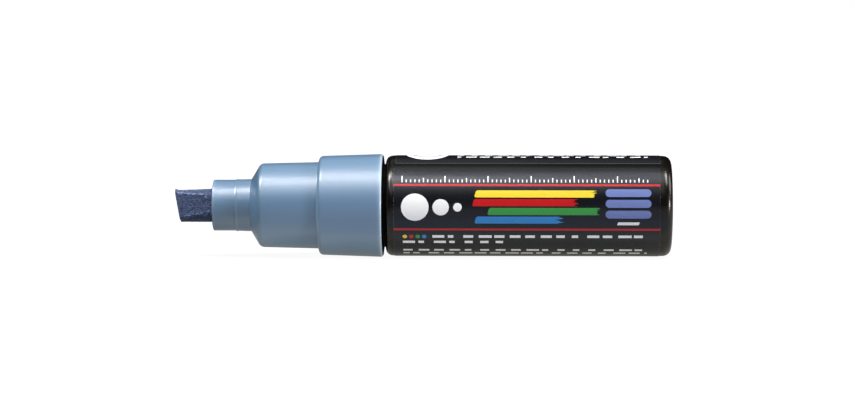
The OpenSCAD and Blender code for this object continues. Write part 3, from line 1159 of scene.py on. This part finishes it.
@dataclass
class Barrel:
    """Paint tank with its neck and bevelled stop flange.

    Sizes whose names end in _r are radii from the axis, and those that end in _round are fillets.
    """

    axis: Axis
    outer_r: float = 11.8
    wall: float = 1.3
    rear_wall: float = 1.6
    tank_round: float = 0.8
    rear_round: float = 2.3
    shoulder_round: float = 1.95
    fullness: float = 0.57
    collar_gap: float = 0.75
    neck_r: float = 9.8
    neck_bore_r: float = 8.5
    neck_round: float = 0.2
    flange_r: float = 11.78
    flange_w: float = 0.36
    flange_lip: float = 0.1
    foot_r: float = 6.0
    foot_depth: float = 0.4
    foot_round: float = 0.25
    foot_floor_round: float = 0.15
    gate_r: float = 0.9
    gate_h: float = 0.15
    gate_round: float = 0.05
    gate_foot_round: float = 0.1
    steps: int = 192

    def __post_init__(self) -> None:
        """Read the tank's ends and the collar's rim off the frame."""
        low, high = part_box("barrel")
        self.mouth = self.axis.station(low.x)
        self.rear = self.axis.station(high.x)
        self.rim = self.axis.station(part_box("front_section")[1].x)
        self.shoulder = self.rim + self.collar_gap

    def corners(self) -> list[Corner]:
        """Lay out the wall's outline, from the inside round the neck and the outside to the gate mark.

        Returns:
            Its corners.
        """
        floor = self.rear - self.foot_depth
        tank_r = self.outer_r - self.wall
        tank_front = self.shoulder + self.wall
        tank_rear = self.rear - self.rear_wall
        return [
            Corner(tank_rear, 0.0),
            Corner(tank_rear, tank_r, self.tank_round),
            Corner(tank_front, tank_r, self.tank_round),
            Corner(tank_front, self.neck_bore_r),
            Corner(self.mouth, self.neck_bore_r),
            Corner(self.mouth, self.neck_r, self.neck_round),
            Corner(self.rim, self.neck_r),
            Corner(self.rim, self.flange_r),
            Corner(self.rim + self.flange_lip, self.flange_r),
            Corner(self.rim + self.flange_w, self.neck_r),
            Corner(self.shoulder, self.neck_r),
            Corner(self.shoulder, self.outer_r, self.shoulder_round, self.fullness),
            Corner(self.rear, self.outer_r, self.rear_round, self.fullness),
            Corner(self.rear, self.foot_r, self.foot_round),
            Corner(floor, self.foot_r, self.foot_floor_round),
            Corner(floor, self.gate_r, self.gate_foot_round),
            Corner(floor + self.gate_h, self.gate_r, self.gate_round),
            Corner(floor + self.gate_h, 0.0),
        ]

    def build(self, finish: MouldedPlastic, neck: MouldedPlastic) -> bpy.types.Object:
        """Model the tank and dress it.

        Args:
            finish: Its plastic.
            neck: A darker, duller black for its neck as far as the shoulder, painted shade for the gap
                behind the collar.

        Returns:
            The piece.
        """
        shape = Mesh(self.axis)
        shape.turn(self.corners(), self.steps, closed=False)
        # Faces ahead of the shoulder take the neck's darker black, painted shade for the gap behind the
        # collar.
        for face in shape.bm.faces:
            ahead = self.axis.station(face.calc_center_median().x) < self.shoulder
            face.material_index = 1 if ahead else 0
        piece = shape.finish("paint_tank")
        piece.data.materials.append(finish.material())
        piece.data.materials.append(neck.material())
        place(piece, Body.MARKER, Slot.BARREL, "barrel")
        return piece


@dataclass
class Label:
    """Film wrapped round the tank, with a bare strip between its two long edges.

    Attributes:
        axis: The marker's axis.
        outer_r: Radius of its printed side, in millimetres.
        thickness: The film's thickness, in millimetres.
        gap: Width of the bare strip, in millimetres.
        gap_above: Middle of the bare strip, as an angle above the -Y side.
        facing_above: The line that faces the camera, as such an angle.
        corner_round: Radius of the film's corners, in millimetres.
        skew: How far the wrap drifts along the marker in one turn, in millimetres.
        corner_steps: Faces round a corner of the film.
        steps: Faces round the axis.
    """

    axis: Axis
    outer_r: float = 11.875
    thickness: float = 0.073
    gap: float = 1.5
    gap_above: float = 56.0
    facing_above: float = 4.0
    corner_round: float = 0.7
    skew: float = 0.35
    corner_steps: int = 5
    steps: int = 180

    UV_NAME = "film"
    EDGE_TILT = 0.5
    # Keeps a corner at the wrap's very start from being taken for one a turn further on.
    SLACK_DEG = 1.0
    # How much longer than the film its lines are, so that they reach its edges.
    OVERRUN_MM = 1.0
    # Angles above the -Y side for the print on the flap and behind the marker.
    OVAL_ABOVE, FLAP_ABOVE, BEHIND_ABOVE = 89.0, 87.5, 180.0
    # Ink of each brush stroke, its middle along and across the film, and its length.
    STROKES = (
        (Ink.YELLOW, 33.5, 2.75, 29.0),
        (Ink.RED, 31.0, 0.7, 25.0),
        (Ink.GREEN, 35.5, -1.35, 27.0),
        (Ink.BLUE, 29.5, -3.4, 21.0),
    )
    # Middle of each large disc along the film, and its diameter.
    DISCS = ((5.0, 6.4), (11.0, 3.8), (14.9, 2.0))

    def __post_init__(self) -> None:
        """Read the film's ends off the frame and work out its girth."""
        low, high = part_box("label")
        self.front = self.axis.station(low.x)
        self.rear = self.axis.station(high.x)
        self.turn = 360 - math.degrees(self.gap / self.outer_r)
        self.start = self.gap_above - (360 - self.turn) / 2
        self.girth = math.radians(self.turn) * self.outer_r
        self.top = self.across(self.start)

    def across(self, above: float) -> float:
        """Return the film's millimetres above the line that faces the camera, at an angle.

        Args:
            above: Angle above the -Y side, past the bare strip for the flap and the back.

        Returns:
            The place on the flat film, which ends at the bare strip.
        """
        wrapped = above if above <= self.gap_above else above - 360
        return math.radians(wrapped - self.facing_above) * self.outer_r

    def front_prints(self) -> list[Print]:
        """Lay out the generic print that faces the camera.

        Returns:
            What is printed, from the lowest ink to the topmost.
        """
        length = self.rear - self.front
        reach = length + self.OVERRUN_MM
        lines = [Bar(Ink.RED, length / 2, across, reach, height=0.52) for across in (4.9, -5.76)]
        chips = [
            Bar(Ink.SLATE, along=54.5, across=0.47 + row * 2.52, length=10.6, height=1.86, corner=0.92)
            for row in (-1, 0, 1)
        ]
        strokes = [
            Bar(ink, along, across, pull, height=1.7, corner=0.5, slant=0.5, ragged=2.6)
            for ink, along, across, pull in self.STROKES
        ]
        discs = [Disc(Ink.WHITE, along, across=-0.4, length=wide, height=wide) for along, wide in self.DISCS]
        chip_line = Bar(Ink.WHITE, along=54.5, across=-4.25, length=5.0, height=0.7, corner=0.1, slant=0.3)
        swatches = [
            Disc(ink, along=2.6 + 1.5 * i, across=-7.75, length=1.05, height=1.05)
            for i, ink in enumerate(PAINTS)
        ]
        ticks = TickRow(Ink.WHITE, start=2.0, count=57, foot=5.6)
        rows = [
            DashBlock(Ink.WHITE, 9.0, 59.0, top=-7.35, rows=1, row_pitch=2.0, dash_pitch=3.6, seed=3.0),
            DashBlock(Ink.WHITE, 2.1, 27.0, top=-9.05, rows=1, row_pitch=2.0, dash_pitch=3.6, seed=17.0),
            DashBlock(Ink.WHITE, 2.1, 59.0, top=-12.2, rows=2, row_pitch=1.7, dash_pitch=3.6, seed=29.0),
        ]
        return [*lines, *chips, *strokes, *discs, chip_line, *swatches, ticks, *rows]

    def back_prints(self) -> list[Print]:
        """Lay out the generic print on the flap and behind the marker.

        Returns:
            What is printed, from the lowest ink to the topmost.
        """
        length = self.rear - self.front
        flap = self.across(self.FLAP_ABOVE)
        behind = self.across(self.BEHIND_ABOVE)
        oval = [
            Disc(ink, along=7.4, across=self.across(self.OVAL_ABOVE), length=wide, height=tall)
            for ink, wide, tall in ((Ink.WHITE, 9.9, 8.2), (Ink.SLATE, 6.6, 4.8), (Ink.WHITE, 5.8, 4.0))
        ]
        flap_rows = DashBlock(
            Ink.WHITE, 14.5, 59.0, top=flap, rows=2, row_pitch=1.7, dash_pitch=3.2, seed=51.0
        )
        reach = length + self.OVERRUN_MM
        lines = [Bar(Ink.RED, length / 2, behind + off, reach, height=0.6) for off in (8.5, -8.5)]
        chips = [
            Bar(ink, along=9.0, across=behind + 4.8 - 3.2 * i, length=11.0, height=2.0, corner=0.98)
            for i, ink in enumerate(PAINTS)
        ]
        rows = DashBlock(
            Ink.WHITE, 18.5, 58.0, top=behind + 6.0, rows=7, row_pitch=1.8, dash_pitch=3.4, seed=67.0
        )
        return [*oval, flap_rows, *lines, *chips, rows]

    def film(self) -> PrintedFilm:
        """Return the printed film, cut to the label's size."""
        # The margin colour is a painted highlight along the film's cut edges.
        return PrintedFilm(
            "printed_film", base=(0.0065, 0.0078, 0.0105, 1.0), edge_highlight=srgb(128, 130, 134),
            length=self.rear - self.front, top=self.top, girth=self.girth,
            prints=(*self.front_prints(), *self.back_prints()),
        )

    def build(self, film: PrintedFilm, edge: MouldedPlastic) -> bpy.types.Object:
        """Model the film, lay out its UV map and dress it.

        Args:
            film: The printed film.
            edge: The film's cut edge.

        Returns:
            The piece.
        """
        shape = Mesh(self.axis)
        ends = [
            shape.bm.verts.new(self.axis.at(station, self.outer_r, self.start))
            for station in (self.front, self.rear)
        ]
        seam = shape.bm.edges.new(ends)
        made = bmesh.ops.spin(
            shape.bm, geom=[*ends, seam], cent=self.axis.centre, axis=(1, 0, 0),
            dvec=(self.skew * MM / self.steps, 0, 0), angle=math.radians(self.turn), steps=self.steps,
            use_merge=False, use_normal_flip=False, use_duplicate=False,
        )
        corners = ends + [g for g in made["geom_last"] if isinstance(g, bmesh.types.BMVert)]
        bmesh.ops.bevel(
            shape.bm, geom=corners, offset=self.corner_round * MM, offset_type="OFFSET",
            segments=self.corner_steps, profile=0.5, affect="VERTICES", clamp_overlap=True, material=-1,
        )
        self.face_outwards(shape)
        bmesh.ops.solidify(shape.bm, geom=shape.bm.faces[:], thickness=self.thickness * MM)
        bmesh.ops.recalc_face_normals(shape.bm, faces=shape.bm.faces)
        self.lay_out(shape)
        piece = shape.finish("wrapped_label")
        piece.data.materials.append(film.material())
        piece.data.materials.append(edge.material())
        place(piece, Body.MARKER, Slot.LABEL, "label")
        return piece

    def tilt(self, face: bmesh.types.BMFace) -> float:
        """Return how a face looks: 1 for away from the axis, 0 for a cut edge and -1 for inwards."""
        middle = face.calc_center_median()
        return face.normal.dot(Vector((0.0, middle.y, middle.z - self.axis.height)).normalized())

    def face_outwards(self, shape: Mesh) -> None:
        """Turn the open sheet's faces away from the axis.

        Args:
            shape: The sheet.
        """
        for face in shape.bm.faces:
            if self.tilt(face) < 0:
                face.normal_flip()

    def lay_out(self, shape: Mesh) -> None:
        """Give every corner its place on the flat film, and the cut edges their own finish.

        Args:
            shape: The film with its thickness.
        """
        uv = shape.bm.loops.layers.uv.new(self.UV_NAME)
        length = self.rear - self.front
        for face in shape.bm.faces:
            face.material_index = 0 if abs(self.tilt(face)) > self.EDGE_TILT else 1
            for loop in face.loops:
                point = loop.vert.co
                below = self.start - self.axis.above(point) + self.SLACK_DEG
                fall = (below % 360 - self.SLACK_DEG) / self.turn
                along = (self.axis.station(point.x) - self.front - self.skew * fall) / length
                loop[uv].uv = (along, 1 - fall)


@dataclass
class Nib:
    """Felt rod with a slanted chisel in front, with its sizes in millimetres.

    Attributes:
        axis: The marker's axis.
        radius: The rod's radius.
        slant_deg: How far the writing edge leans.
        edge: Thickness of the chisel at its tip.
        wedge_deg: How far each flat side leans to the axis.
        roll_deg: How far the chisel is turned about the axis.
        edge_round: How wide its edges are rounded.
        voxel: Size of the even mesh's faces.
        fluff: How far fibres stand out.
        wear: How far the upper side is worn down at the tip.
        wear_len: How far from the tip the wear reaches.
        lip: How far the upper lip is lifted.
        lip_len: How far from the tip the lip reaches.
        sag: How far the rod lies below the axis.
        ridge_w: Width of the bands along the ridges that hold more paint, where the felt also gets a painted
            glint.
        segments: Sides of the rod before it is cut.
    """

    axis: Axis
    radius: float = 3.9
    slant_deg: float = 10.5
    edge: float = 4.8
    wedge_deg: float = 6.2
    roll_deg: float = 8.0
    edge_round: float = 0.28
    voxel: float = 0.11
    fluff: float = 0.07
    wear: float = 0.33
    wear_len: float = 8.5
    lip: float = 0.34
    lip_len: float = 0.6
    sag: float = 0.06
    ridge_w: float = 0.5
    segments: int = 96

    PIECE_NAME = "felt_nib"
    RIDGE_NAME = "ridge"
    LEAD_MM = 1.0
    CREASE_DEG = 25.0
    EDGE_STEPS = 3
    FIBRE_WAVES = (1.3, 1.7)
    FIBRE_FRACTAL = (0.8, 2.1, 4)
    FIBRE_SHARE = 0.6
    CLUMP_WAVES = (0.5, 0.7)
    CLUMP_SHIFT = 7.0
    CLUMP_SHARE = 0.3
    LIP_POWER = 4

    def __post_init__(self) -> None:
        """Read the rod's inner end off the frame."""
        self.tail = self.axis.station(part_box("nib")[1].x)

    def cut(self, shape: Mesh, point: Vector, normal: Vector) -> None:
        """Cut off what lies on the normal's side of a plane and close the cut.

        Args:
            shape: The rod.
            point: A point of the plane.
            normal: The side that goes.
        """
        geom = shape.bm.verts[:] + shape.bm.edges[:] + shape.bm.faces[:]
        made = bmesh.ops.bisect_plane(
            shape.bm, geom=geom, dist=shape.MERGE_M, plane_co=point, plane_no=normal, clear_outer=True,
            clear_inner=False,
        )
        rim = [g for g in made["geom_cut"] if isinstance(g, bmesh.types.BMEdge)]
        bmesh.ops.edgeloop_fill(shape.bm, edges=rim)

    def roll(self) -> Matrix:
        """Return how the chisel is turned about the rod's axis."""
        return Matrix.Rotation(-math.radians(self.roll_deg), 3, "X")

    def facets(self) -> list[tuple[Vector, Vector]]:
        """Work out the planes of the chisel's two flat sides.

        Returns:
            A point and the outward normal of each.
        """
        wedge = math.radians(self.wedge_deg)
        sides = []
        for side, outwards in ((0.0, -1.0), (180.0, 1.0)):
            on_facet = self.axis.at(0.0, self.edge / 2, side + self.roll_deg)
            flat = Vector((-math.sin(wedge), outwards * math.cos(wedge), 0.0))
            sides.append((on_facet, self.roll() @ flat))
        return sides

    def carve(self) -> Mesh:
        """Cut the rod to its slanted tip and its two facets.

        Returns:
            The rod, with sharp edges.
        """
        shape = Mesh(self.axis)
        length = self.tail + self.LEAD_MM
        middle = self.axis.at(self.tail - length / 2)
        lay_down = Matrix.Translation(middle) @ Matrix.Rotation(math.pi / 2, 4, "Y")
        bmesh.ops.create_cone(
            shape.bm, cap_ends=True, cap_tris=False, segments=self.segments, radius1=self.radius * MM,
            radius2=self.radius * MM, depth=length * MM, matrix=lay_down,
        )
        slant = math.radians(self.slant_deg)
        crest = self.axis.at(0.0, self.radius, 90.0 + self.roll_deg)
        self.cut(shape, crest, self.roll() @ Vector((-math.cos(slant), 0.0, -math.sin(slant))))
        for on_facet, flat in self.facets():
            self.cut(shape, on_facet, flat)
        bmesh.ops.recalc_face_normals(shape.bm, faces=shape.bm.faces)
        return shape

    def build(self, finish: SoakedFelt) -> bpy.types.Object:
        """Model the felt and dress it.

        Args:
            finish: Its felt.

        Returns:
            The piece.
        """
        shape = self.carve()
        crease = math.radians(self.CREASE_DEG)
        sharp = [e for e in shape.bm.edges if e.is_manifold and e.calc_face_angle(0.0) > crease]
        bmesh.ops.bevel(
            shape.bm, geom=sharp, offset=self.edge_round * MM, offset_type="OFFSET",
            segments=self.EDGE_STEPS, profile=0.5, affect="EDGES", clamp_overlap=True, material=-1,
        )
        piece = self.remesh(shape.finish("felt_nib_blank"))
        self.mark_ridges(piece)
        self.ruffle(piece)
        piece.data.materials.append(finish.material())
        place(piece, Body.NIB, Slot.NIB, "nib")
        return piece

    def remesh(self, rough: bpy.types.Object) -> bpy.types.Object:
        """Give the rod an even, dense mesh.

        Args:
            rough: The rod as it was cut, which is removed.

        Returns:
            The rod with its new mesh.
        """
        even = rough.modifiers.new("even", "REMESH")
        even.mode = "VOXEL"
        even.voxel_size = self.voxel * MM
        even.use_smooth_shade = True
        ready = rough.evaluated_get(bpy.context.evaluated_depsgraph_get())
        mesh = bpy.data.meshes.new_from_object(ready)
        mesh.name = self.PIECE_NAME
        bpy.data.objects.remove(rough)
        piece = bpy.data.objects.new(self.PIECE_NAME, mesh)
        bpy.context.scene.collection.objects.link(piece)
        return piece

    def mark_ridges(self, piece: bpy.types.Object) -> None:
        """Store on each vertex how near it is to an edge between a flat side and the round of the rod.

        Args:
            piece: The rod with its even mesh.
        """
        marks = piece.data.attributes.new(self.RIDGE_NAME, "FLOAT", "POINT")
        for vert, mark in zip(piece.data.vertices, marks.data):
            off_flat = min(abs((vert.co - point).dot(flat)) for point, flat in self.facets()) / MM
            off_round = self.radius - self.axis.radius(vert.co)
            mark.value = math.exp(-(off_flat ** 2 + off_round ** 2) / self.ridge_w ** 2)

    def stand_out(self, point: Vector) -> float:
        """Return how far fibres stand out at a point.

        Args:
            point: The point, in metres.

        Returns:
            The distance in millimetres, below 0 for a hollow.
        """
        x, y, z = point / MM
        along, across = self.FIBRE_WAVES
        fibre = noise.fractal(Vector((x * along, y * across, z * across)), *self.FIBRE_FRACTAL)
        along, across = self.CLUMP_WAVES
        clump = noise.noise(Vector((x * along + self.CLUMP_SHIFT, y * across, z * across)))
        return self.fluff * (self.FIBRE_SHARE * fibre + self.CLUMP_SHARE * clump)

    def rise(self, point: Vector) -> float:
        """Return how far use has moved the felt at a point: worn, lifted at its lip and sunk.

        Args:
            point: The point, in metres.

        Returns:
            The distance upwards, in millimetres.
        """
        station = self.axis.station(point.x)
        height = (point.z - self.axis.height) / MM / self.radius
        worn = self.wear * max(1 - station / self.wear_len, 0.0) * (1 + height) / 2
        lift = self.lip * math.exp(-((station / self.lip_len) ** 2)) * max(height, 0.0) ** self.LIP_POWER
        return lift - worn - self.sag

    def ruffle(self, piece: bpy.types.Object) -> None:
        """Move the felt's surface as its fibres and its use have done.

        Args:
            piece: The rod with its even mesh.
        """
        moves = [
            vert.normal * self.stand_out(vert.co) * MM + Vector((0.0, 0.0, self.rise(vert.co) * MM))
            for vert in piece.data.vertices
        ]
        for vert, move in zip(piece.data.vertices, moves):
            vert.co += move
        piece.data.update()


@dataclass
class ValveSpring:
    """Compression spring of the valve, modelled at rest; the real one shortens as the stem goes back.

    Attributes:
        axis: The marker's axis.
        wire_r: Radius of the wire, in millimetres.
        mean_r: Radius of the coil at the wire's middle, in millimetres.
        turns: How many turns it has.
        end_share: Pitch of its first and last turn, as a share of the mean pitch.
        travel: How far the stem goes back, in millimetres; not used.
        wire_sides: Sides of the wire.
        steps: Faces along a turn.
    """

    axis: Axis
    wire_r: float = 0.25
    mean_r: float = 2.6
    turns: int = 7
    end_share: float = 0.6
    travel: float = 2.0
    wire_sides: int = 12
    steps: int = 36

    def build(self, finish: BareMetal) -> bpy.types.Object:
        """Model the spring and dress it.

        Args:
            finish: Its steel.

        Returns:
            The piece.
        """
        low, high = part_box("valve_spring")
        front, rear = self.axis.station(low.x), self.axis.station(high.x)
        rise = rear - front - 2 * self.wire_r
        end_pitch = self.end_share * rise / self.turns
        mid_pitch = (rise - 2 * end_pitch) / (self.turns - 2)
        shape = Mesh(self.axis)
        wire_end = Matrix.Translation(self.axis.at(front + self.wire_r, self.mean_r))
        circle = bmesh.ops.create_circle(
            shape.bm, cap_ends=True, segments=self.wire_sides, radius=self.wire_r * MM, matrix=wire_end
        )["verts"]
        geom = list({f for v in circle for f in v.link_faces})
        for pitch in (end_pitch, *[mid_pitch] * (self.turns - 2), end_pitch):
            made = bmesh.ops.spin(
                shape.bm, geom=geom, cent=self.axis.centre, axis=(1, 0, 0),
                dvec=(pitch * MM / self.steps, 0, 0), angle=math.tau, steps=self.steps,
                use_merge=False, use_normal_flip=False, use_duplicate=False,
            )
            geom = made["geom_last"]
        bmesh.ops.recalc_face_normals(shape.bm, faces=shape.bm.faces)
        piece = shape.finish("coil_spring")
        piece.data.materials.append(finish.material())
        place(piece, Body.MARKER, Slot.SPRING, "valve_spring")
        self.axis.at(rear)
        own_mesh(piece)
        return piece


@dataclass(frozen=True)
class HiddenWorks:
    """The valve's pieces and the ball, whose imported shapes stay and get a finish.

    Attributes:
        white: Plastic of the valve's fixed pieces.
        grey: Plastic of its stem.
        rubber: Rubber of its seals.
        polished: Steel of the ball.
    """

    white: MouldedPlastic
    grey: MouldedPlastic
    rubber: MouldedPlastic
    polished: BareMetal

    def dress(self) -> None:
        """Put each finish on its nodes."""
        finishes = (
            (self.white, ("valve_body", "spring_retainer")),
            (self.grey, ("valve_stem",)),
            (self.rubber, ("neck_gasket", "stem_seal")),
            (self.polished, ("mixing_ball",)),
        )
        for finish, nodes in finishes:
            material = finish.material()
            for node in nodes:
                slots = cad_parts[node].data.materials
                slots.clear()
                slots.append(material)
                LOG.info("%s: finish %s", node, finish.name)


@dataclass(frozen=True)
class Softbox:
    """A round studio light, so far away that it lights the whole floor evenly.

    Attributes:
        name: The light's name.
        side_deg: How far it stands to the right of the marker's middle, as an angle.
        up_deg: How far it is turned up from the -Y horizon, past 90 for a light behind the marker.
        width_deg: Its diameter as seen from the marker.
        radiance: How bright its face is, where 1 is a white sheet in the picture.
    """

    name: str
    side_deg: float
    up_deg: float
    width_deg: float
    radiance: float

    def hang(self) -> None:
        """Hang the light."""
        side, up = math.radians(self.side_deg), math.radians(self.up_deg)
        out = Vector((math.sin(side), -math.cos(side) * math.cos(up), math.cos(side) * math.sin(up)))
        lamp = bpy.data.lights.new(self.name, "SUN")
        lamp.angle = math.radians(self.width_deg)
        lamp.energy = self.radiance * math.pi * math.sin(lamp.angle / 2) ** 2
        holder = bpy.data.objects.new(self.name, lamp)
        holder.rotation_mode = "QUATERNION"
        holder.rotation_quaternion = (-out).to_track_quat("-Z", "Y")
        holder.visible_camera = False
        bpy.context.scene.collection.objects.link(holder)


@dataclass(frozen=True)
class Studio:
    """Pale floor and wall, softboxes and the camera.

    Attributes:
        axis: The marker's axis.
        image_width: The picture's width, in pixels.
        pixels_per_mm: How large the marker's middle shows.
        camera_up_deg: How far the camera looks down.
        camera_away: Its distance from the marker, in metres.
        eye_mm: Where it stands along X.
        aim_mm: Where it looks along X.
        aim_up_mm: How far above the axis it looks.
        sensor_mm: Width of its sensor.
        clip_end: How far it sees, in metres.
        floor_half: Half of the floor's width, in metres.
        glow_blend: How softly one glow of the floor turns into the next, in millimetres.
    """

    axis: Axis
    image_width: int = 854
    pixels_per_mm: float = 4.242
    camera_up_deg: float = 4.0
    camera_away: float = 0.693
    eye_mm: float = 19.8
    aim_mm: float = 1.07
    aim_up_mm: float = 0.12
    sensor_mm: float = 36.0
    clip_end: float = 100.0
    floor_half: float = 20.0
    glow_blend: float = 6.0

    WHITE = (1.0, 1.0, 1.0, 1.0)
    FLOOR_ROUGH = 0.9
    SEEN_BASE = (0.045, 0.045, 0.045, 1.0)
    SEEN_GLOW = 0.945
    MOTTLE_WAVES = 40.0
    PALE = ((0.225, 0.21, 0.19, 1.0), (0.245, 0.23, 0.21, 1.0))
    DARK = (0.02, 0.02, 0.02, 1.0)
    DARK_AHEAD_MM = (-64.0, -42.0)
    # Millimetres to the side of the marker, and the floor's glow from there on.
    GLOW = (
        (0.0, (0.31, 0.31, 0.28, 1.0)),
        (14.0, (0.07, 0.16, 0.25, 1.0)),
        (30.0, (0.0, 0.0, 0.16, 1.0)),
        (60.0, (0.0, 0.0, 0.0, 1.0)),
    )

    SOFTBOXES = (
        Softbox("key_high", -33.0, 80.0, 13.0, 40.0),
        Softbox("key_low", -33.0, 58.0, 13.0, 8.0),
        Softbox("key_near", -23.0, 80.0, 13.0, 11.0),
        Softbox("fill_high", -14.0, 80.0, 13.0, 15.0),
        Softbox("fill_foot", -14.0, 40.0, 13.0, 2.6),
        Softbox("front_mid", -5.0, 67.0, 13.0, 8.8),
        Softbox("front_low", -5.0, 54.0, 13.0, 4.2),
        Softbox("front_high", 5.0, 80.0, 13.0, 2.2),
        Softbox("front_foot", 5.0, 40.0, 13.0, 0.8),
        Softbox("right_high", 20.0, 80.0, 13.0, 22.0),
        Softbox("right_low", 24.0, 67.0, 13.0, 16.0),
        Softbox("right_card", 66.0, 8.0, 12.0, 50.0),
        Softbox("top", -7.0, 98.0, 20.0, 0.55),
        Softbox("behind", -7.0, 125.0, 24.0, 0.25),
        Softbox("far_right", 60.0, 95.0, 30.0, 5.0),
    )

    def build(self) -> None:
        """Set the stage."""
        self.floor()
        for box in self.SOFTBOXES:
            box.hang()
        self.room()
        self.camera()

    def floor(self) -> None:
        """Lay the floor."""
        graph = Graph("pale_floor")
        self.floor_light(graph)
        self.floor_look(graph)
        bm = bmesh.new()
        bmesh.ops.create_grid(bm, x_segments=1, y_segments=1, size=self.floor_half)
        mesh = bpy.data.meshes.new("floor")
        bm.to_mesh(mesh)
        bm.free()
        mesh.materials.append(graph.material)
        floor = bpy.data.objects.new("floor", mesh)
        bpy.context.scene.collection.objects.link(floor)

    def floor_light(self, graph: Graph) -> None:
        """Set what the floor throws on the marker: a glow from beside it, and none from ahead of its nose.

        Args:
            graph: The floor's nodes.
        """
        x, y, _ = graph.split(graph.place())
        lit = graph.span(x, *(place * MM for place in self.DARK_AHEAD_MM), 0.0, 1.0, smooth=True)
        mottle = graph.noise(self.MOTTLE_WAVES, detail=3.0)
        graph.wire(Base_Color=graph.mix(lit, self.DARK, graph.mix(mottle, *self.PALE)))
        off = graph.math("ABSOLUTE", y)
        glow: object = self.GLOW[0][1]
        for start, colour in self.GLOW[1:]:
            low, high = start - self.glow_blend / 2, start + self.glow_blend / 2
            glow = graph.mix(graph.span(off, low * MM, high * MM, 0.0, 1.0, smooth=True), glow, colour)
        graph.wire(Emission_Color=glow, Emission_Strength=lit)
        graph.set(Roughness=self.FLOOR_ROUGH)

    def floor_look(self, graph: Graph) -> None:
        """Show the floor almost white to the camera alone, with a faint shadow.

        Args:
            graph: The floor's nodes.
        """
        looks = {
            "Base Color": self.SEEN_BASE,
            "Roughness": self.FLOOR_ROUGH,
            "Emission Color": self.WHITE,
            "Emission Strength": self.SEEN_GLOW,
        }
        seen = graph.nodes.new("ShaderNodeBsdfPrincipled")
        for name, value in looks.items():
            seen.inputs[name].default_value = value
        path = graph.nodes.new("ShaderNodeLightPath")
        either = graph.nodes.new("ShaderNodeMixShader")
        graph.links.new(path.outputs["Is Camera Ray"], either.inputs["Fac"])
        graph.links.new(graph.shader.outputs["BSDF"], either.inputs[1])
        graph.links.new(seen.outputs["BSDF"], either.inputs[2])
        graph.links.new(either.outputs["Shader"], graph.nodes["Material Output"].inputs["Surface"])

    def room(self) -> None:
        """Leave the room dark, and show its wall white to the camera alone."""
        world = bpy.data.worlds.new("room")
        world.use_nodes = True
        nodes = world.node_tree.nodes
        wall = nodes["Background"]
        wall.inputs["Color"].default_value = self.WHITE
        path = nodes.new("ShaderNodeLightPath")
        world.node_tree.links.new(path.outputs["Is Camera Ray"], wall.inputs["Strength"])
        bpy.context.scene.world = world

    def camera(self) -> None:
        """Stand the camera where the marker was seen from."""
        lens = bpy.data.cameras.new("camera")
        lens.sensor_width = self.sensor_mm
        frame_width = self.image_width / self.pixels_per_mm * MM
        lens.lens = self.sensor_mm * self.camera_away / frame_width
        lens.clip_end = self.clip_end
        eye = bpy.data.objects.new("camera", lens)
        up = math.radians(self.camera_up_deg)
        back = Vector((0.0, -math.cos(up), math.sin(up)))
        eye.location = Vector((self.eye_mm * MM, 0.0, self.axis.height)) + back * self.camera_away
        aim = Vector((self.aim_mm * MM, 0.0, self.axis.height + self.aim_up_mm * MM))
        eye.rotation_mode = "QUATERNION"
        eye.rotation_quaternion = (aim - eye.location).to_track_quat("-Z", "Y")
        bpy.context.scene.collection.objects.link(eye)
        bpy.context.scene.camera = eye
        bpy.context.scene.view_settings.view_transform = "Standard"


BLACK_PLASTIC = MouldedPlastic(
    "black_plastic", colour=(0.0045, 0.0036, 0.0028, 1.0), shade=(0.0038, 0.003, 0.0024, 1.0),
    rough_low=0.22, rough_high=0.26, grain_mm=0.0004, tint=(1.0, 0.97, 0.93, 1.0),
)
# Painted shade: a darker black with weak gloss for the neck, in the gap behind the collar.
NECK_SHADE_BLACK = MouldedPlastic(
    "neck_shade_black", colour=(0.0026, 0.0024, 0.0022, 1.0), shade=(0.0022, 0.002, 0.0018, 1.0),
    rough_low=0.6, rough_high=0.7, grain_mm=0.002, gloss=0.12,
)
FILM_EDGE = MouldedPlastic(
    "film_edge", srgb(84, 86, 90), srgb(72, 74, 78), rough_low=0.4, rough_high=0.5, grain_mm=0.002
)
FELT = SoakedFelt(
    "soaked_felt", deep=srgb(35, 46, 71), fibre=srgb(74, 92, 132), glint=srgb(124, 142, 186)
)
WHITE_PLASTIC = MouldedPlastic(
    "valve_white", srgb(236, 235, 228), srgb(228, 227, 219), rough_low=0.4, rough_high=0.5, grain_mm=0.004
)
GREY_PLASTIC = MouldedPlastic(
    "stem_grey", srgb(206, 212, 218), srgb(198, 204, 210), rough_low=0.35, rough_high=0.45, grain_mm=0.003
)
RUBBER = MouldedPlastic(
    "seal_rubber", srgb(38, 38, 39), srgb(30, 30, 31), rough_low=0.6, rough_high=0.75, grain_mm=0.01
)
SPRING_STEEL = BareMetal("spring_wire", srgb(196, 196, 200), rough_low=0.25, rough_high=0.4)
BALL_STEEL = BareMetal("ball_steel", srgb(208, 208, 212), rough_low=0.08, rough_high=0.16)


def main() -> None:
    """Build the marker piece by piece, then its stage."""
    logging.basicConfig(level=logging.INFO, format="%(message)s")
    axis = Axis.of_frame()
    front = FrontSection(axis)
    front.build(front.slate_plastic())
    Barrel(axis).build(BLACK_PLASTIC, NECK_SHADE_BLACK)
    label = Label(axis)
    label.build(label.film(), FILM_EDGE)
    Nib(axis).build(FELT)
    ValveSpring(axis).build(SPRING_STEEL)
    HiddenWorks(WHITE_PLASTIC, GREY_PLASTIC, RUBBER, BALL_STEEL).dress()
    Studio(axis).build()


if __name__ == "__main__":
    main()
